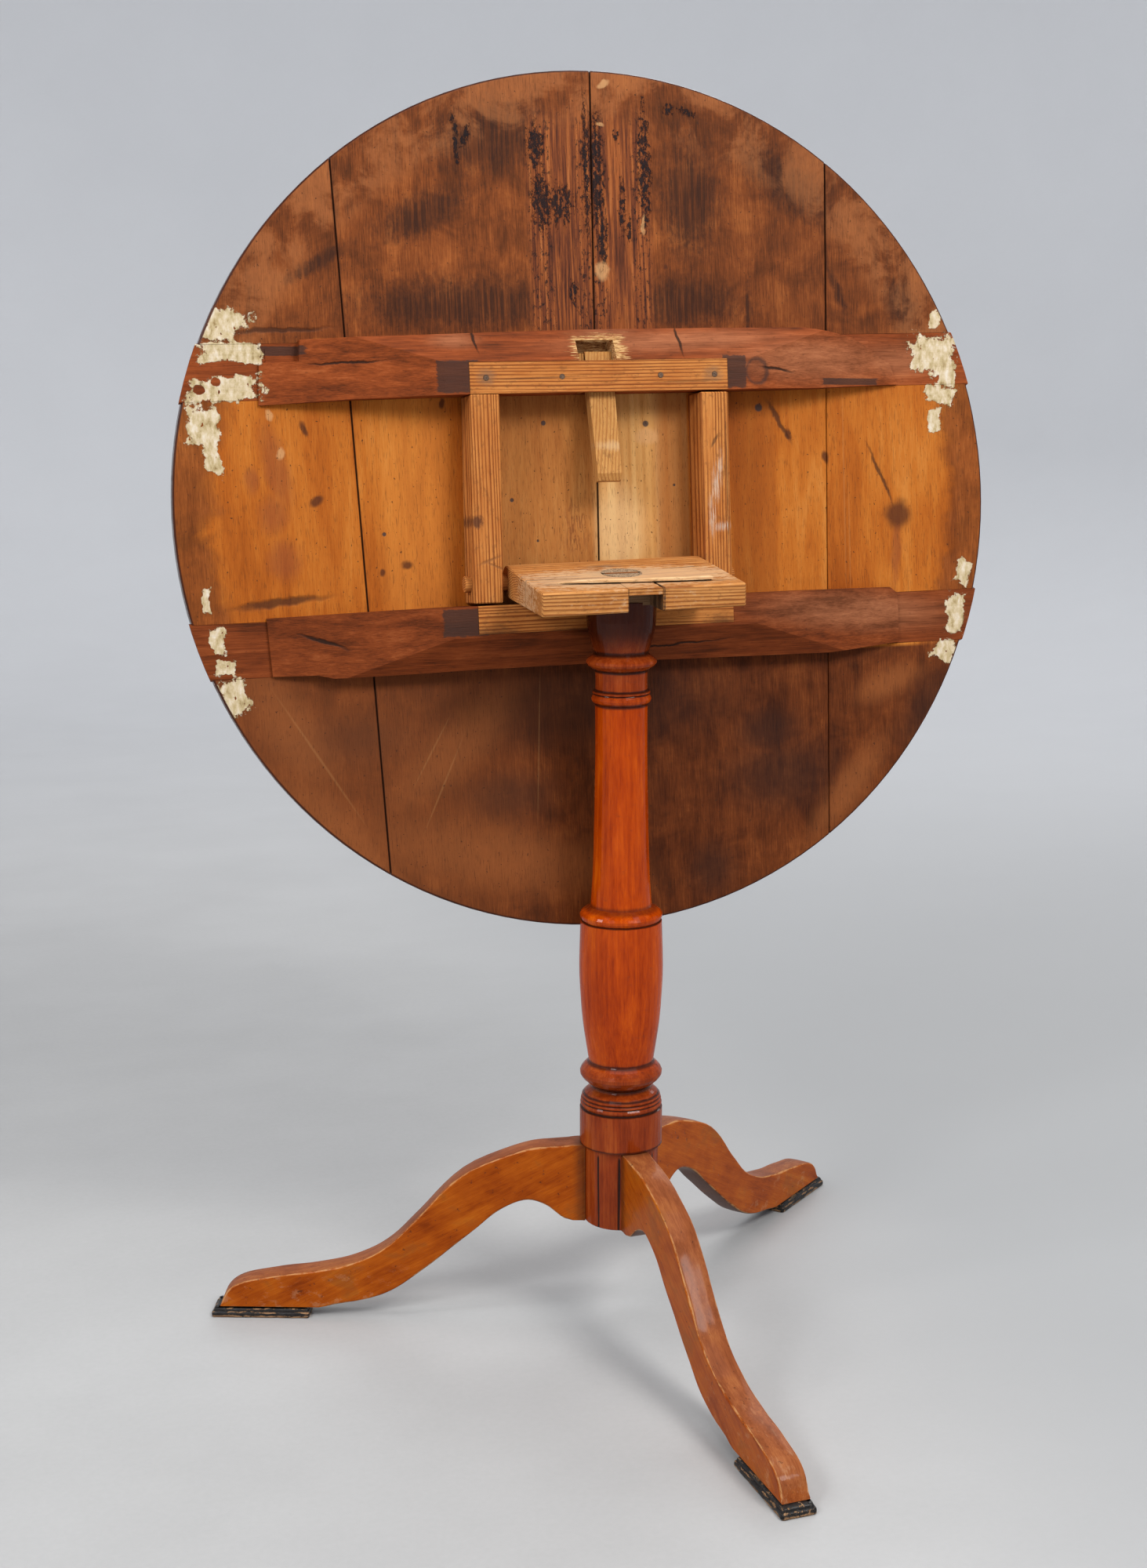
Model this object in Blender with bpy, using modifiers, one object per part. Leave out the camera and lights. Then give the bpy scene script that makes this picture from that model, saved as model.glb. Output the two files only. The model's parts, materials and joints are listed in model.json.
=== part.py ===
"""Tilt top table on a turned pillar with three legs, top tipped up at rest.

Metres, +Z up. The hinge of the top runs along X, the underside of the tipped
top faces -Y, and the origin is on the floor under the middle of the bounding
box. Pieces that turn with the top are laid out flat in the hinge's own space:
X along the hinge, Y up the tipped top, Z out of its underside.
"""
import math

import bmesh
import bpy
from mathutils import Matrix, Vector

# Overall
GAP = 0.0003
AXIS_X = -0.0060
AXIS_Y = 0.06004
TOP_RADIUS = 0.385
TOP_OFF_AXIS = 0.0060
BOARD_THICK = 0.014
BOARD_EDGE = 0.0016
HINGE_FROM_AXIS = 0.0543
HINGE_HEIGHT = 0.6911
HINGE_TO_BOARD = 0.0187
HINGE_TO_CENTRE = 0.0665
LEAN_DEG = 6.0
RIM_SEGMENTS = 144

# Joints between the four boards: offset at the middle, and slope along the top
LEFT_JOINT = (-0.2160, -0.0427)
MIDDLE_JOINT = (0.0040, 0.0142)
RIGHT_JOINT = (0.2300, 0.0158)

# Battens
UPPER_BATTEN_AT = 0.1283
UPPER_BATTEN_SKEW = 0.0067
LOWER_BATTEN_AT = -0.1135
LOWER_BATTEN_SKEW = 0.0066
BATTEN_WIDTH = 0.0572
BATTEN_THICK = 0.0330
BATTEN_THIN_EDGE = 0.0155
BATTEN_FLAT = 0.0280
BATTEN_FULL = 0.1430
BATTEN_BODY = 0.3050
BATTEN_STEP = 0.0018
BATTEN_RADIUS = 0.3870
TONGUE_WIDTH = 0.0480
UPPER_TONGUE_SKEW = 0.0115
LOWER_TONGUE_SKEW = 0.0060
TONGUE_DEPTH = 0.0050
TONGUE_SPREAD = 0.0015
UPPER_TONGUE_SHIFT = -0.0027
LOWER_TONGUE_SHIFT = -0.0018

# Hand-cut outlines of the raised parts of the battens, on the boards
UPPER_PLAN = (
    (-0.3010, 0.0935),
    (-0.2210, 0.0969),
    (-0.1200, 0.0989),
    (0.1200, 0.1005),
    (0.2120, 0.1020),
    (0.3030, 0.1057),
    (0.2950, 0.1250),
    (0.2550, 0.1480),
    (0.2300, 0.1534),
    (0.2040, 0.1574),
    (0.1070, 0.1572),
    (-0.0120, 0.1560),
    (-0.1130, 0.1530),
    (-0.2190, 0.1500),
    (-0.2640, 0.1488),
    (-0.2655, 0.1302),
    (-0.2990, 0.1300),
)
LOWER_PLAN = (
    (-0.3000, -0.1410),
    (-0.2620, -0.1412),
    (-0.2468, -0.1446),
    (-0.1970, -0.1442),
    (-0.1210, -0.1428),
    (-0.0525, -0.1423),
    (0.0523, -0.1417),
    (0.1450, -0.1424),
    (0.2237, -0.1428),
    (0.3000, -0.1363),
    (0.2990, -0.0900),
    (0.2906, -0.0841),
    (0.1898, -0.0838),
    (-0.1276, -0.0859),
    (-0.1960, -0.0872),
    (-0.3031, -0.0899),
)

# Frame of rails between the battens
RAIL_LENGTH = 0.2405
RAIL_THICK = 0.0075
UPPER_RAIL_WIDTH = 0.0276
LOWER_RAIL_WIDTH = 0.0252
SIDE_RAIL_WIDTH = 0.0265
SIDE_RAIL_THICK = 0.0340
LEFT_RAIL_TOP = -0.1073
LEFT_RAIL_FOOT = -0.1105
RIGHT_RAIL_TOP = 0.1069
RIGHT_RAIL_FOOT = 0.1064
SIDE_RAIL_HIGH = 0.0985
SIDE_RAIL_LOW = -0.0837
PEG_RADIUS = 0.0024
PEG_LENGTH = 0.0200
PEG_PLACES = (-0.1055, -0.0360, 0.0562, 0.1078)
DOWEL_RADIUS = 0.0072
DOWEL_HOLE = 0.0074
DOWEL_REACH_IN = 0.0620
DOWEL_PROUD = 0.0055

# Latch
LATCH_X = 0.0028
LATCH_WIDTH = 0.0250
LATCH_TAPER = 0.0026
LATCH_THICK = 0.0115
LATCH_TIP = 0.0195
LATCH_HEAD = 0.1345
LATCH_TIP_BACK = 0.0275
LATCH_SLOPE = 0.1800
LATCH_RAMP = 0.0062
LATCH_NOSE = 0.0036
MORTISE_HIGH = 0.1460
SLIP_WIDTH = 0.0088

# Block on the pillar
BLOCK_LEFT = -0.0914
BLOCK_RIGHT = 0.0926
BLOCK_FRONT = 0.0640
BLOCK_FRONT_BOTTOM = 0.6756
BLOCK_BACK_BOTTOM = 0.6795
BLOCK_FRONT_TOP = 0.6958
BLOCK_BACK_TOP = 0.7080
BLOCK_BACK_ROUND = 0.0135
BLOCK_RISE = 0.0150
BLOCK_OUT_OF_SQUARE = 0.0010
NOTCH_LEFT = -0.0145
NOTCH_RIGHT = 0.0165
NOTCH_DEPTH = 0.0340
KEEPER_BOTTOM = 0.6900
TENON_RADIUS = 0.0180
WEDGE_THICK = 0.0030
WEDGE_LENGTH = 0.0300
WEDGE_DEPTH = 0.0220

# Pillar
PILLAR_TOP = 0.7060
PILLAR_FOOT = 0.1000
SHOULDER = 0.6790
VASE_RADIUS = 0.0312
COLLAR_BOTTOM = 0.1755
SOCKET_RADIUS = 0.0345
TURN_STEPS = 40

# Legs: azimuth in degrees, and how far the foot reaches
LEGS = {
    "front": (273.26, 0.3820),
    "left": (160.75, 0.3865),
    "back": (39.69, 0.3928),
}
LEG_REACH = 0.3865
LEG_THICK = 0.0250
LEG_UPPER = (
    (0.0320, 0.1751),
    (0.0920, 0.1680),
    (0.1480, 0.1430),
    (0.1900, 0.1005),
    (0.2160, 0.0740),
    (0.2450, 0.0570),
    (0.2800, 0.0475),
    (0.3180, 0.0418),
    (0.3540, 0.0350),
    (0.3710, 0.0255),
    (0.3785, 0.0093),
)
LEG_LOWER = (
    (0.2850, 0.0093),
    (0.2420, 0.0180),
    (0.2160, 0.0275),
    (0.1850, 0.0490),
    (0.1400, 0.0865),
    (0.1140, 0.1085),
    (0.0900, 0.1193),
    (0.0700, 0.1150),
    (0.0520, 0.1018),
    (0.0320, 0.1003),
)
KEY_INNER = 0.0220
KEY_NECK = 0.0110
KEY_WIDE = 0.0160
PAD_INNER = 0.2930
PAD_HALF = 0.0160
PAD_HEIGHT = 0.0090
PAD_EDGE = 0.0026

COLOURS = {
    "board": (0.30, 0.13, 0.045, 0.55, 0.0),
    "batten": (0.28, 0.11, 0.045, 0.6, 0.0),
    "pine": (0.55, 0.27, 0.10, 0.6, 0.0),
    "block": (0.66, 0.38, 0.16, 0.6, 0.0),
    "peg": (0.24, 0.14, 0.07, 0.7, 0.0),
    "pillar": (0.30, 0.075, 0.018, 0.25, 0.0),
    "leg": (0.38, 0.14, 0.035, 0.35, 0.0),
    "pad": (0.025, 0.022, 0.020, 0.45, 0.0),
}


def clear_scene():
    for old in list(bpy.data.objects):
        bpy.data.objects.remove(old, do_unlink=True)


def make_collection(name):
    group = bpy.data.collections.new(name)
    bpy.context.scene.collection.children.link(group)
    return group


clear_scene()
TABLE = make_collection("tilt_top_table")
CUTTERS = make_collection("cutters")


def paint(obj, kind):
    red, green, blue, rough, metal = COLOURS[kind]
    mat = bpy.data.materials.new(obj.name + "_" + kind)
    mat.use_nodes = True
    shader = mat.node_tree.nodes["Principled BSDF"]
    shader.inputs["Base Color"].default_value = (red, green, blue, 1.0)
    shader.inputs["Roughness"].default_value = rough
    shader.inputs["Metallic"].default_value = metal
    obj.data.materials.clear()
    obj.data.materials.append(mat)


def add_object(name, mesh, kind=None, parent=None):
    obj = bpy.data.objects.new(name, mesh)
    if kind is None:
        CUTTERS.objects.link(obj)
        obj.hide_render = True
        obj.display_type = "WIRE"
    else:
        TABLE.objects.link(obj)
        paint(obj, kind)
    obj.parent = parent
    return obj


def empty(name, matrix, parent=None):
    point = bpy.data.objects.new(name, None)
    TABLE.objects.link(point)
    point.empty_display_size = 0.03
    point.parent = parent
    point.matrix_basis = matrix
    return point


def prism_mesh(name, outline, half):
    """A flat outline in XY, given its thickness along Z."""
    curve = bpy.data.curves.new(name, "CURVE")
    curve.dimensions = "2D"
    curve.fill_mode = "BOTH"
    curve.extrude = half
    line = curve.splines.new("POLY")
    line.points.add(len(outline) - 1)
    for point, (x, y) in zip(line.points, outline):
        point.co = (x, y, 0.0, 1.0)
    line.use_cyclic_u = True
    holder = bpy.data.objects.new(name + "_curve", curve)
    bpy.context.scene.collection.objects.link(holder)
    bpy.context.view_layer.update()
    shape = holder.evaluated_get(bpy.context.evaluated_depsgraph_get())
    mesh = bpy.data.meshes.new_from_object(shape)
    bpy.data.objects.remove(holder, do_unlink=True)
    work = bmesh.new()
    work.from_mesh(mesh)
    bmesh.ops.remove_doubles(work, verts=work.verts, dist=0.00001)
    flat = [edge for edge in work.edges if edge.calc_face_angle(1.0) < 0.0005]
    bmesh.ops.dissolve_edges(work, edges=flat, use_verts=False)
    bmesh.ops.recalc_face_normals(work, faces=work.faces)
    work.to_mesh(mesh)
    work.free()
    mesh.name = name
    return mesh


def box_mesh(name, low, high):
    work = bmesh.new()
    bmesh.ops.create_cube(work, size=1.0)
    low = Vector(low)
    high = Vector(high)
    size = high - low
    bmesh.ops.scale(work, vec=size, verts=work.verts)
    bmesh.ops.translate(work, vec=(low + high) / 2, verts=work.verts)
    mesh = bpy.data.meshes.new(name)
    work.to_mesh(mesh)
    work.free()
    return mesh


def rod_mesh(name, radius, length, segments):
    """A rod along X, centred on the origin."""
    work = bmesh.new()
    bmesh.ops.create_cone(work, cap_ends=True, segments=segments, radius1=radius,
                          radius2=radius, depth=length)
    bmesh.ops.rotate(work, verts=work.verts, matrix=Matrix.Rotation(math.pi / 2, 3, "Y"))
    mesh = bpy.data.meshes.new(name)
    work.to_mesh(mesh)
    work.free()
    return mesh


def boolean(obj, tool, operation="DIFFERENCE"):
    cut = obj.modifiers.new(tool.name, "BOOLEAN")
    cut.operation = operation
    cut.solver = "EXACT"
    cut.object = tool


def bevel(obj, width, segments=2, angle=35.0):
    soft = obj.modifiers.new("edges", "BEVEL")
    soft.width = width
    soft.segments = segments
    soft.limit_method = "ANGLE"
    soft.angle_limit = math.radians(angle)
    soft.use_clamp_overlap = True


def round_off(obj, angle=40.0):
    obj.data.shade_smooth()
    obj.data.set_sharp_from_angle(angle=math.radians(angle))


# Space of the tipped top, on the hinge line
LEAN = math.radians(LEAN_DEG)
hinge_frame = Matrix.Translation((AXIS_X, AXIS_Y + HINGE_FROM_AXIS, HINGE_HEIGHT))
hinge_frame = hinge_frame @ Matrix.Rotation(math.pi / 2 - LEAN, 4, "X")
TOP = empty("top_hinge", hinge_frame)


def on_top(across=0.0, along=0.0, out=0.0):
    """From the middle of the underside of the boards to the hinge's space."""
    return Vector((across, along + HINGE_TO_CENTRE, out - HINGE_TO_BOARD))


# Boards
def joint_at(joint, along):
    return joint[0] + joint[1] * along


def joint_meets_rim(joint, upper):
    """Where a board joint runs out at the rim, by halving."""
    low, high = (0.0, TOP_RADIUS) if upper else (-TOP_RADIUS, 0.0)
    for _ in range(40):
        middle = (low + high) / 2
        across = joint_at(joint, middle) - TOP_OFF_AXIS
        inside = math.hypot(across, middle) < TOP_RADIUS
        if inside == upper:
            low = middle
        else:
            high = middle
    return math.atan2(high, joint_at(joint, high) - TOP_OFF_AXIS)


def rim_arc(start, end):
    while end <= start:
        end += 2 * math.pi
    count = max(2, round((end - start) / (2 * math.pi) * RIM_SEGMENTS))
    arc = []
    for step in range(count + 1):
        angle = start + (end - start) * step / count
        arc.append((TOP_OFF_AXIS + TOP_RADIUS * math.cos(angle), TOP_RADIUS * math.sin(angle)))
    return arc


def board_outline(left, right):
    if left is None:
        start = joint_meets_rim((right[0] - GAP / 2, right[1]), True)
        end = joint_meets_rim((right[0] - GAP / 2, right[1]), False)
        return rim_arc(start, end)
    if right is None:
        start = joint_meets_rim((left[0] + GAP / 2, left[1]), False)
        end = joint_meets_rim((left[0] + GAP / 2, left[1]), True)
        return rim_arc(start, end)
    near = (left[0] + GAP / 2, left[1])
    far = (right[0] - GAP / 2, right[1])
    upper = rim_arc(joint_meets_rim(far, True), joint_meets_rim(near, True))
    lower = rim_arc(joint_meets_rim(near, False), joint_meets_rim(far, False))
    return upper + lower


def batten_space(at, skew):
    centre = on_top(0.0, at, 0.0)
    return Matrix.Translation(centre) @ Matrix.Rotation(skew, 4, "Z")


UPPER = batten_space(UPPER_BATTEN_AT, UPPER_BATTEN_SKEW)
LOWER = batten_space(LOWER_BATTEN_AT, LOWER_BATTEN_SKEW)
UPPER_TONGUE = batten_space(UPPER_BATTEN_AT, UPPER_TONGUE_SKEW)
LOWER_TONGUE = batten_space(LOWER_BATTEN_AT, LOWER_TONGUE_SKEW)


def tongue_mesh(name, shift, spare, length):
    """Dovetailed tongue along X, wider at its foot inside the boards."""
    over = 0.002 if spare else 0.0
    deep = TONGUE_DEPTH + spare
    half = TONGUE_WIDTH / 2 + spare
    foot = half + TONGUE_SPREAD
    half -= TONGUE_SPREAD * over / deep
    outline = [
        (shift - foot, -deep),
        (shift + foot, -deep),
        (shift + half, over),
        (shift - half, over),
    ]
    mesh = prism_mesh(name, outline, length / 2)
    mesh.transform(Matrix.Rotation(math.pi / 2, 4, "Z") @ Matrix.Rotation(math.pi / 2, 4, "X"))
    return mesh


trenches = []
TRENCHES = (("upper", UPPER_TONGUE, UPPER_TONGUE_SHIFT), ("lower", LOWER_TONGUE, LOWER_TONGUE_SHIFT))
for label, space, shift in TRENCHES:
    trench = add_object(label + "_trench", tongue_mesh(label + "_trench", shift, GAP, 0.9), None, TOP)
    trench.matrix_basis = space
    trenches.append(trench)

BOARDS = (
    ("board_left_outer", None, LEFT_JOINT),
    ("board_left_inner", LEFT_JOINT, MIDDLE_JOINT),
    ("board_right_inner", MIDDLE_JOINT, RIGHT_JOINT),
    ("board_right_outer", RIGHT_JOINT, None),
)
for label, left, right in BOARDS:
    board_mesh = prism_mesh(label, board_outline(left, right), BOARD_THICK / 2)
    board_mesh.transform(Matrix.Translation(on_top(0.0, 0.0, -BOARD_THICK / 2)))
    board = add_object(label, board_mesh, "board", TOP)
    bevel(board, BOARD_EDGE, 2, 60.0)
    for trench in trenches:
        boolean(board, trench)
    round_off(board)


# Battens
def batten(label, space, tongue_space, plan, side, shift):
    """side is +1 where the rail lies on the low edge, -1 where on the high edge."""
    half = BATTEN_WIDTH / 2
    fall = (BATTEN_THICK - BATTEN_THIN_EDGE) / (BATTEN_WIDTH - BATTEN_FLAT)
    wide = half + 0.008
    thin = BATTEN_THIN_EDGE - 0.008 * fall
    profile = [(-wide, GAP), (wide, GAP)]
    if side > 0:
        profile += [(wide, thin), (BATTEN_FLAT - half, BATTEN_THICK), (-wide, BATTEN_THICK)]
    else:
        profile += [(wide, BATTEN_THICK), (half - BATTEN_FLAT, BATTEN_THICK), (-wide, thin)]
    body = prism_mesh(label, profile, BATTEN_BODY)
    body.transform(Matrix.Rotation(math.pi / 2, 4, "Z") @ Matrix.Rotation(math.pi / 2, 4, "X"))
    piece = add_object(label, body, "batten", TOP)
    piece.matrix_basis = space
    slope = (BATTEN_THICK - BATTEN_STEP) / (BATTEN_BODY - BATTEN_FULL)
    far = BATTEN_BODY + 0.02
    wedge = [
        (BATTEN_FULL, BATTEN_THICK),
        (far, BATTEN_THICK - slope * (far - BATTEN_FULL)),
        (far, 0.06),
        (BATTEN_FULL, 0.06),
    ]
    for end, sign in (("left", -1), ("right", 1)):
        outline = [(sign * x, y) for x, y in wedge]
        taper = prism_mesh(label + "_taper_" + end, outline, 0.05)
        taper.transform(Matrix.Rotation(math.pi / 2, 4, "X"))
        tool = add_object(label + "_taper_" + end, taper, None, TOP)
        tool.matrix_basis = space
        boolean(piece, tool)
    plan_mesh = prism_mesh(label + "_plan", plan, 0.05)
    plan_mesh.transform(Matrix.Translation(on_top(0.0, 0.0, 0.0)))
    boolean(piece, add_object(label + "_plan", plan_mesh, None, TOP), "INTERSECT")
    stem = TONGUE_WIDTH / 2 - 0.004
    stem_mesh = box_mesh(
        label + "_stem",
        (0.012 - BATTEN_BODY, shift - stem, -TONGUE_DEPTH / 2),
        (BATTEN_BODY - 0.030, shift + stem, BATTEN_STEP / 2),
    )
    stem_piece = add_object(label + "_stem", stem_mesh, None, TOP)
    stem_piece.matrix_basis = tongue_space
    boolean(piece, stem_piece, "UNION")
    tongue = add_object(label + "_tongue", tongue_mesh(label + "_tongue", shift, 0.0, 0.82), None, TOP)
    tongue.matrix_basis = tongue_space
    boolean(piece, tongue, "UNION")
    work = bmesh.new()
    bmesh.ops.create_cone(work, cap_ends=True, segments=RIM_SEGMENTS, radius1=BATTEN_RADIUS,
                          radius2=BATTEN_RADIUS, depth=0.12)
    trim_mesh = bpy.data.meshes.new(label + "_trim")
    work.to_mesh(trim_mesh)
    work.free()
    trim_mesh.transform(Matrix.Translation(on_top(TOP_OFF_AXIS)))
    trim = add_object(label + "_trim", trim_mesh, None, TOP)
    boolean(piece, trim, "INTERSECT")
    return piece


upper_batten = batten("upper_batten", UPPER, UPPER_TONGUE, UPPER_PLAN, 1, UPPER_TONGUE_SHIFT)
lower_batten = batten("lower_batten", LOWER, LOWER_TONGUE, LOWER_PLAN, -1, LOWER_TONGUE_SHIFT)


# Rails let into the battens
def let_in_rail(label, holder, space, width, side):
    half = BATTEN_WIDTH / 2
    if side > 0:
        low, high = -half + 0.0002, -half + width
        seat_low, seat_high = -half - 0.01, -half + width + GAP
    else:
        low, high = half - width, half - 0.0002
        seat_low, seat_high = half - width - GAP, half + 0.01
    bottom = BATTEN_THICK - RAIL_THICK
    rail = box_mesh(label, (-RAIL_LENGTH / 2, low, bottom), (RAIL_LENGTH / 2, high, BATTEN_THICK + 0.0003))
    piece = add_object(label, rail, "pine", TOP)
    piece.matrix_basis = space
    reach = RAIL_LENGTH / 2 + GAP
    seat = box_mesh(label + "_seat", (-reach, seat_low, bottom - GAP), (reach, seat_high, 0.06))
    tool = add_object(label + "_seat", seat, None, TOP)
    tool.matrix_basis = space
    boolean(holder, tool)
    return piece


upper_rail = let_in_rail("upper_rail", upper_batten, UPPER, UPPER_RAIL_WIDTH, 1)
lower_rail = let_in_rail("lower_rail", lower_batten, LOWER, LOWER_RAIL_WIDTH, -1)

for number, place in enumerate(PEG_PLACES, start=1):
    label = "rail_peg_%d" % number
    rise = -BATTEN_WIDTH / 2 + UPPER_RAIL_WIDTH / 2
    spot = UPPER @ Matrix.Translation((place, rise, BATTEN_THICK + 0.0006 - PEG_LENGTH / 2))
    spot = spot @ Matrix.Rotation(math.pi / 2, 4, "Y")
    peg = add_object(label, rod_mesh(label, PEG_RADIUS, PEG_LENGTH, 16), "peg", TOP)
    peg.matrix_basis = spot
    round_off(peg)
    hole = add_object(label + "_hole", rod_mesh(label + "_hole", PEG_RADIUS + GAP, PEG_LENGTH, 16), None, TOP)
    hole.matrix_basis = UPPER @ Matrix.Translation(
        (place, rise, BATTEN_THICK + 0.0006 - PEG_LENGTH / 2)) @ Matrix.Rotation(math.pi / 2, 4, "Y")
    deeper = Matrix.Translation((GAP, 0.0, 0.0))
    hole.data.transform(deeper)
    boolean(upper_rail, hole)
    boolean(upper_batten, hole)

# Side rails, with the pivot dowels through their feet
dowel_bores = {}
for side, top_x, foot_x in (("left", LEFT_RAIL_TOP, LEFT_RAIL_FOOT), ("right", RIGHT_RAIL_TOP, RIGHT_RAIL_FOOT)):
    half = SIDE_RAIL_WIDTH / 2
    outline = [
        (top_x - half, SIDE_RAIL_HIGH),
        (foot_x - half, SIDE_RAIL_LOW),
        (foot_x + half, SIDE_RAIL_LOW),
        (top_x + half, SIDE_RAIL_HIGH),
    ]
    label = "side_rail_" + side
    rail_mesh = prism_mesh(label, outline, (SIDE_RAIL_THICK - GAP) / 2)
    rail_mesh.transform(Matrix.Translation(on_top(0.0, 0.0, (SIDE_RAIL_THICK + GAP) / 2)))
    side_rail = add_object(label, rail_mesh, "pine", TOP)
    bevel(side_rail, 0.0010, 1)
    slope = (top_x - foot_x) / (SIDE_RAIL_HIGH - SIDE_RAIL_LOW)
    at_hinge = foot_x + slope * (-HINGE_TO_CENTRE - SIDE_RAIL_LOW)
    sign = -1 if side == "left" else 1
    outer = at_hinge + sign * (half + DOWEL_PROUD)
    inner = sign * DOWEL_REACH_IN
    label = "pivot_dowel_" + side
    dowel = add_object(label, rod_mesh(label, DOWEL_RADIUS, abs(outer - inner), 32), "pine", TOP)
    dowel.matrix_basis = Matrix.Translation(((outer + inner) / 2, 0.0, 0.0))
    bevel(dowel, 0.0006, 1)
    round_off(dowel)
    bore = add_object(label + "_bore", rod_mesh(label + "_bore", DOWEL_HOLE, 0.09, 32), None, TOP)
    bore.matrix_basis = Matrix.Translation((sign * (DOWEL_REACH_IN - GAP + 0.045), 0.0, 0.0))
    boolean(side_rail, bore)
    dowel_bores[side] = bore
    round_off(side_rail, 30.0)

# Latch bar, its mortise and the packing slip beside it
LATCH_LEAN = math.atan(LATCH_SLOPE)
latch_frame = Matrix.Translation(on_top(LATCH_X, LATCH_TIP, LATCH_TIP_BACK))
latch_frame = latch_frame @ Matrix.Rotation(-LATCH_LEAN, 4, "X")
LATCH = empty("latch_slide", latch_frame, TOP)
bar_length = (LATCH_HEAD - LATCH_TIP) / math.cos(LATCH_LEAN)
half_bar = LATCH_WIDTH / 2
side_profile = [
    (0.0, 0.0030),
    (0.0030, 0.0),
    (bar_length - 0.0010, 0.0),
    (bar_length, 0.0010),
    (bar_length, LATCH_THICK - 0.0010),
    (bar_length - 0.0010, LATCH_THICK),
    (LATCH_RAMP, LATCH_THICK),
    (0.0, LATCH_THICK - LATCH_NOSE),
]
bar_mesh = prism_mesh("latch_bar", side_profile, half_bar)
bar_mesh.transform(Matrix.Rotation(math.pi / 2, 4, "Z") @ Matrix.Rotation(math.pi / 2, 4, "X"))
for corner in bar_mesh.vertices:
    if corner.co.x < 0.0:
        corner.co.x += LATCH_TAPER * (1.0 - corner.co.y / bar_length)
latch_bar = add_object("latch_bar", bar_mesh, "pine", LATCH)

slack = 0.0005
tunnel_mesh = box_mesh(
    "latch_tunnel",
    (-half_bar - slack, 0.0600, -slack),
    (half_bar + slack, bar_length + 0.0600, LATCH_THICK + slack),
)
tunnel = add_object("latch_tunnel", tunnel_mesh, None, TOP)
tunnel.matrix_basis = latch_frame
boolean(upper_batten, tunnel)
slip_right = LATCH_X - half_bar - slack
slip_left = slip_right - SLIP_WIDTH
mortise_mesh = box_mesh(
    "latch_mortise",
    on_top(slip_left - GAP, 0.0900, 0.0030),
    on_top(LATCH_X + half_bar + slack, MORTISE_HIGH, 0.0600),
)
mortise = add_object("latch_mortise", mortise_mesh, None, TOP)
boolean(upper_batten, mortise)
slip_low = UPPER_BATTEN_AT - BATTEN_WIDTH / 2 + 0.0010
slip_mesh = box_mesh(
    "latch_packing_slip",
    on_top(slip_left, slip_low, 0.0033),
    on_top(slip_right - GAP, LATCH_HEAD + 0.0004, 0.0180),
)
slip = add_object("latch_packing_slip", slip_mesh, "pine", TOP)
bevel(slip, 0.0005, 1)


# Block on the pillar, with the keeper let into its notch
def block_line(front, back, at):
    return front + (back - front) * (at + BLOCK_FRONT) / (BLOCK_FRONT + HINGE_FROM_AXIS)


def block_top_at(at):
    return block_line(BLOCK_FRONT_TOP, BLOCK_BACK_TOP, at)


def side_on(mesh):
    """Turn an outline drawn as (y, z) to stand across X, on the pillar's axis."""
    mesh.transform(Matrix.Rotation(math.pi / 2, 4, "Z") @ Matrix.Rotation(math.pi / 2, 4, "X"))
    return mesh


def on_pillar(mesh):
    mesh.transform(Matrix.Translation((AXIS_X, AXIS_Y, 0.0)))
    return mesh


def round_cutter(name, radius, low, high):
    """Upright cylinder on the pillar's axis."""
    work = bmesh.new()
    bmesh.ops.create_cone(work, cap_ends=True, segments=TURN_STEPS, radius1=radius,
                          radius2=radius, depth=high - low)
    mesh = bpy.data.meshes.new(name)
    work.to_mesh(mesh)
    work.free()
    mesh.transform(Matrix.Translation((0.0, 0.0, (low + high) / 2)))
    return add_object(name, on_pillar(mesh))


block_profile = [(-BLOCK_FRONT, BLOCK_FRONT_BOTTOM), (-BLOCK_FRONT, BLOCK_FRONT_TOP)]
for step in range(9):
    angle = math.pi / 2 - math.pi / 2 * step / 8
    block_profile.append((
        HINGE_FROM_AXIS + BLOCK_BACK_ROUND * math.cos(angle),
        HINGE_HEIGHT + (BLOCK_BACK_TOP - HINGE_HEIGHT) * math.sin(angle),
    ))
for step in range(1, 9):
    angle = -math.pi / 2 * step / 8
    block_profile.append((
        HINGE_FROM_AXIS + BLOCK_BACK_ROUND * math.cos(angle),
        HINGE_HEIGHT + (HINGE_HEIGHT - BLOCK_BACK_BOTTOM) * math.sin(angle),
    ))
block_profile.reverse()
block_half = (BLOCK_RIGHT - BLOCK_LEFT) / 2
block_mesh = side_on(prism_mesh("pivot_block", block_profile, block_half))
block_mesh.transform(Matrix.Translation(((BLOCK_LEFT + BLOCK_RIGHT) / 2, 0.0, 0.0)))
for corner in block_mesh.vertices:
    if corner.co.x < 0.0:
        deep = (corner.co.y + BLOCK_FRONT) / (BLOCK_FRONT + HINGE_FROM_AXIS + BLOCK_BACK_ROUND)
        corner.co.x += BLOCK_OUT_OF_SQUARE * deep
    corner.co.z += BLOCK_RISE * corner.co.x
pivot_block = add_object("pivot_block", on_pillar(block_mesh), "block")
bevel(pivot_block, 0.0012, 1, 50.0)
notch_mesh = box_mesh(
    "keeper_notch",
    (NOTCH_LEFT, -BLOCK_FRONT - 0.02, 0.60),
    (NOTCH_RIGHT, -BLOCK_FRONT + NOTCH_DEPTH, 0.80),
)
boolean(pivot_block, add_object("keeper_notch", on_pillar(notch_mesh)))
boolean(pivot_block, round_cutter("tenon_hole", TENON_RADIUS + GAP, 0.65, 0.75))
boolean(pivot_block, round_cutter("shoulder_seat", VASE_RADIUS + GAP, 0.64, SHOULDER + GAP))
for bore in dowel_bores.values():
    boolean(pivot_block, bore)
round_off(pivot_block, 30.0)

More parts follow.
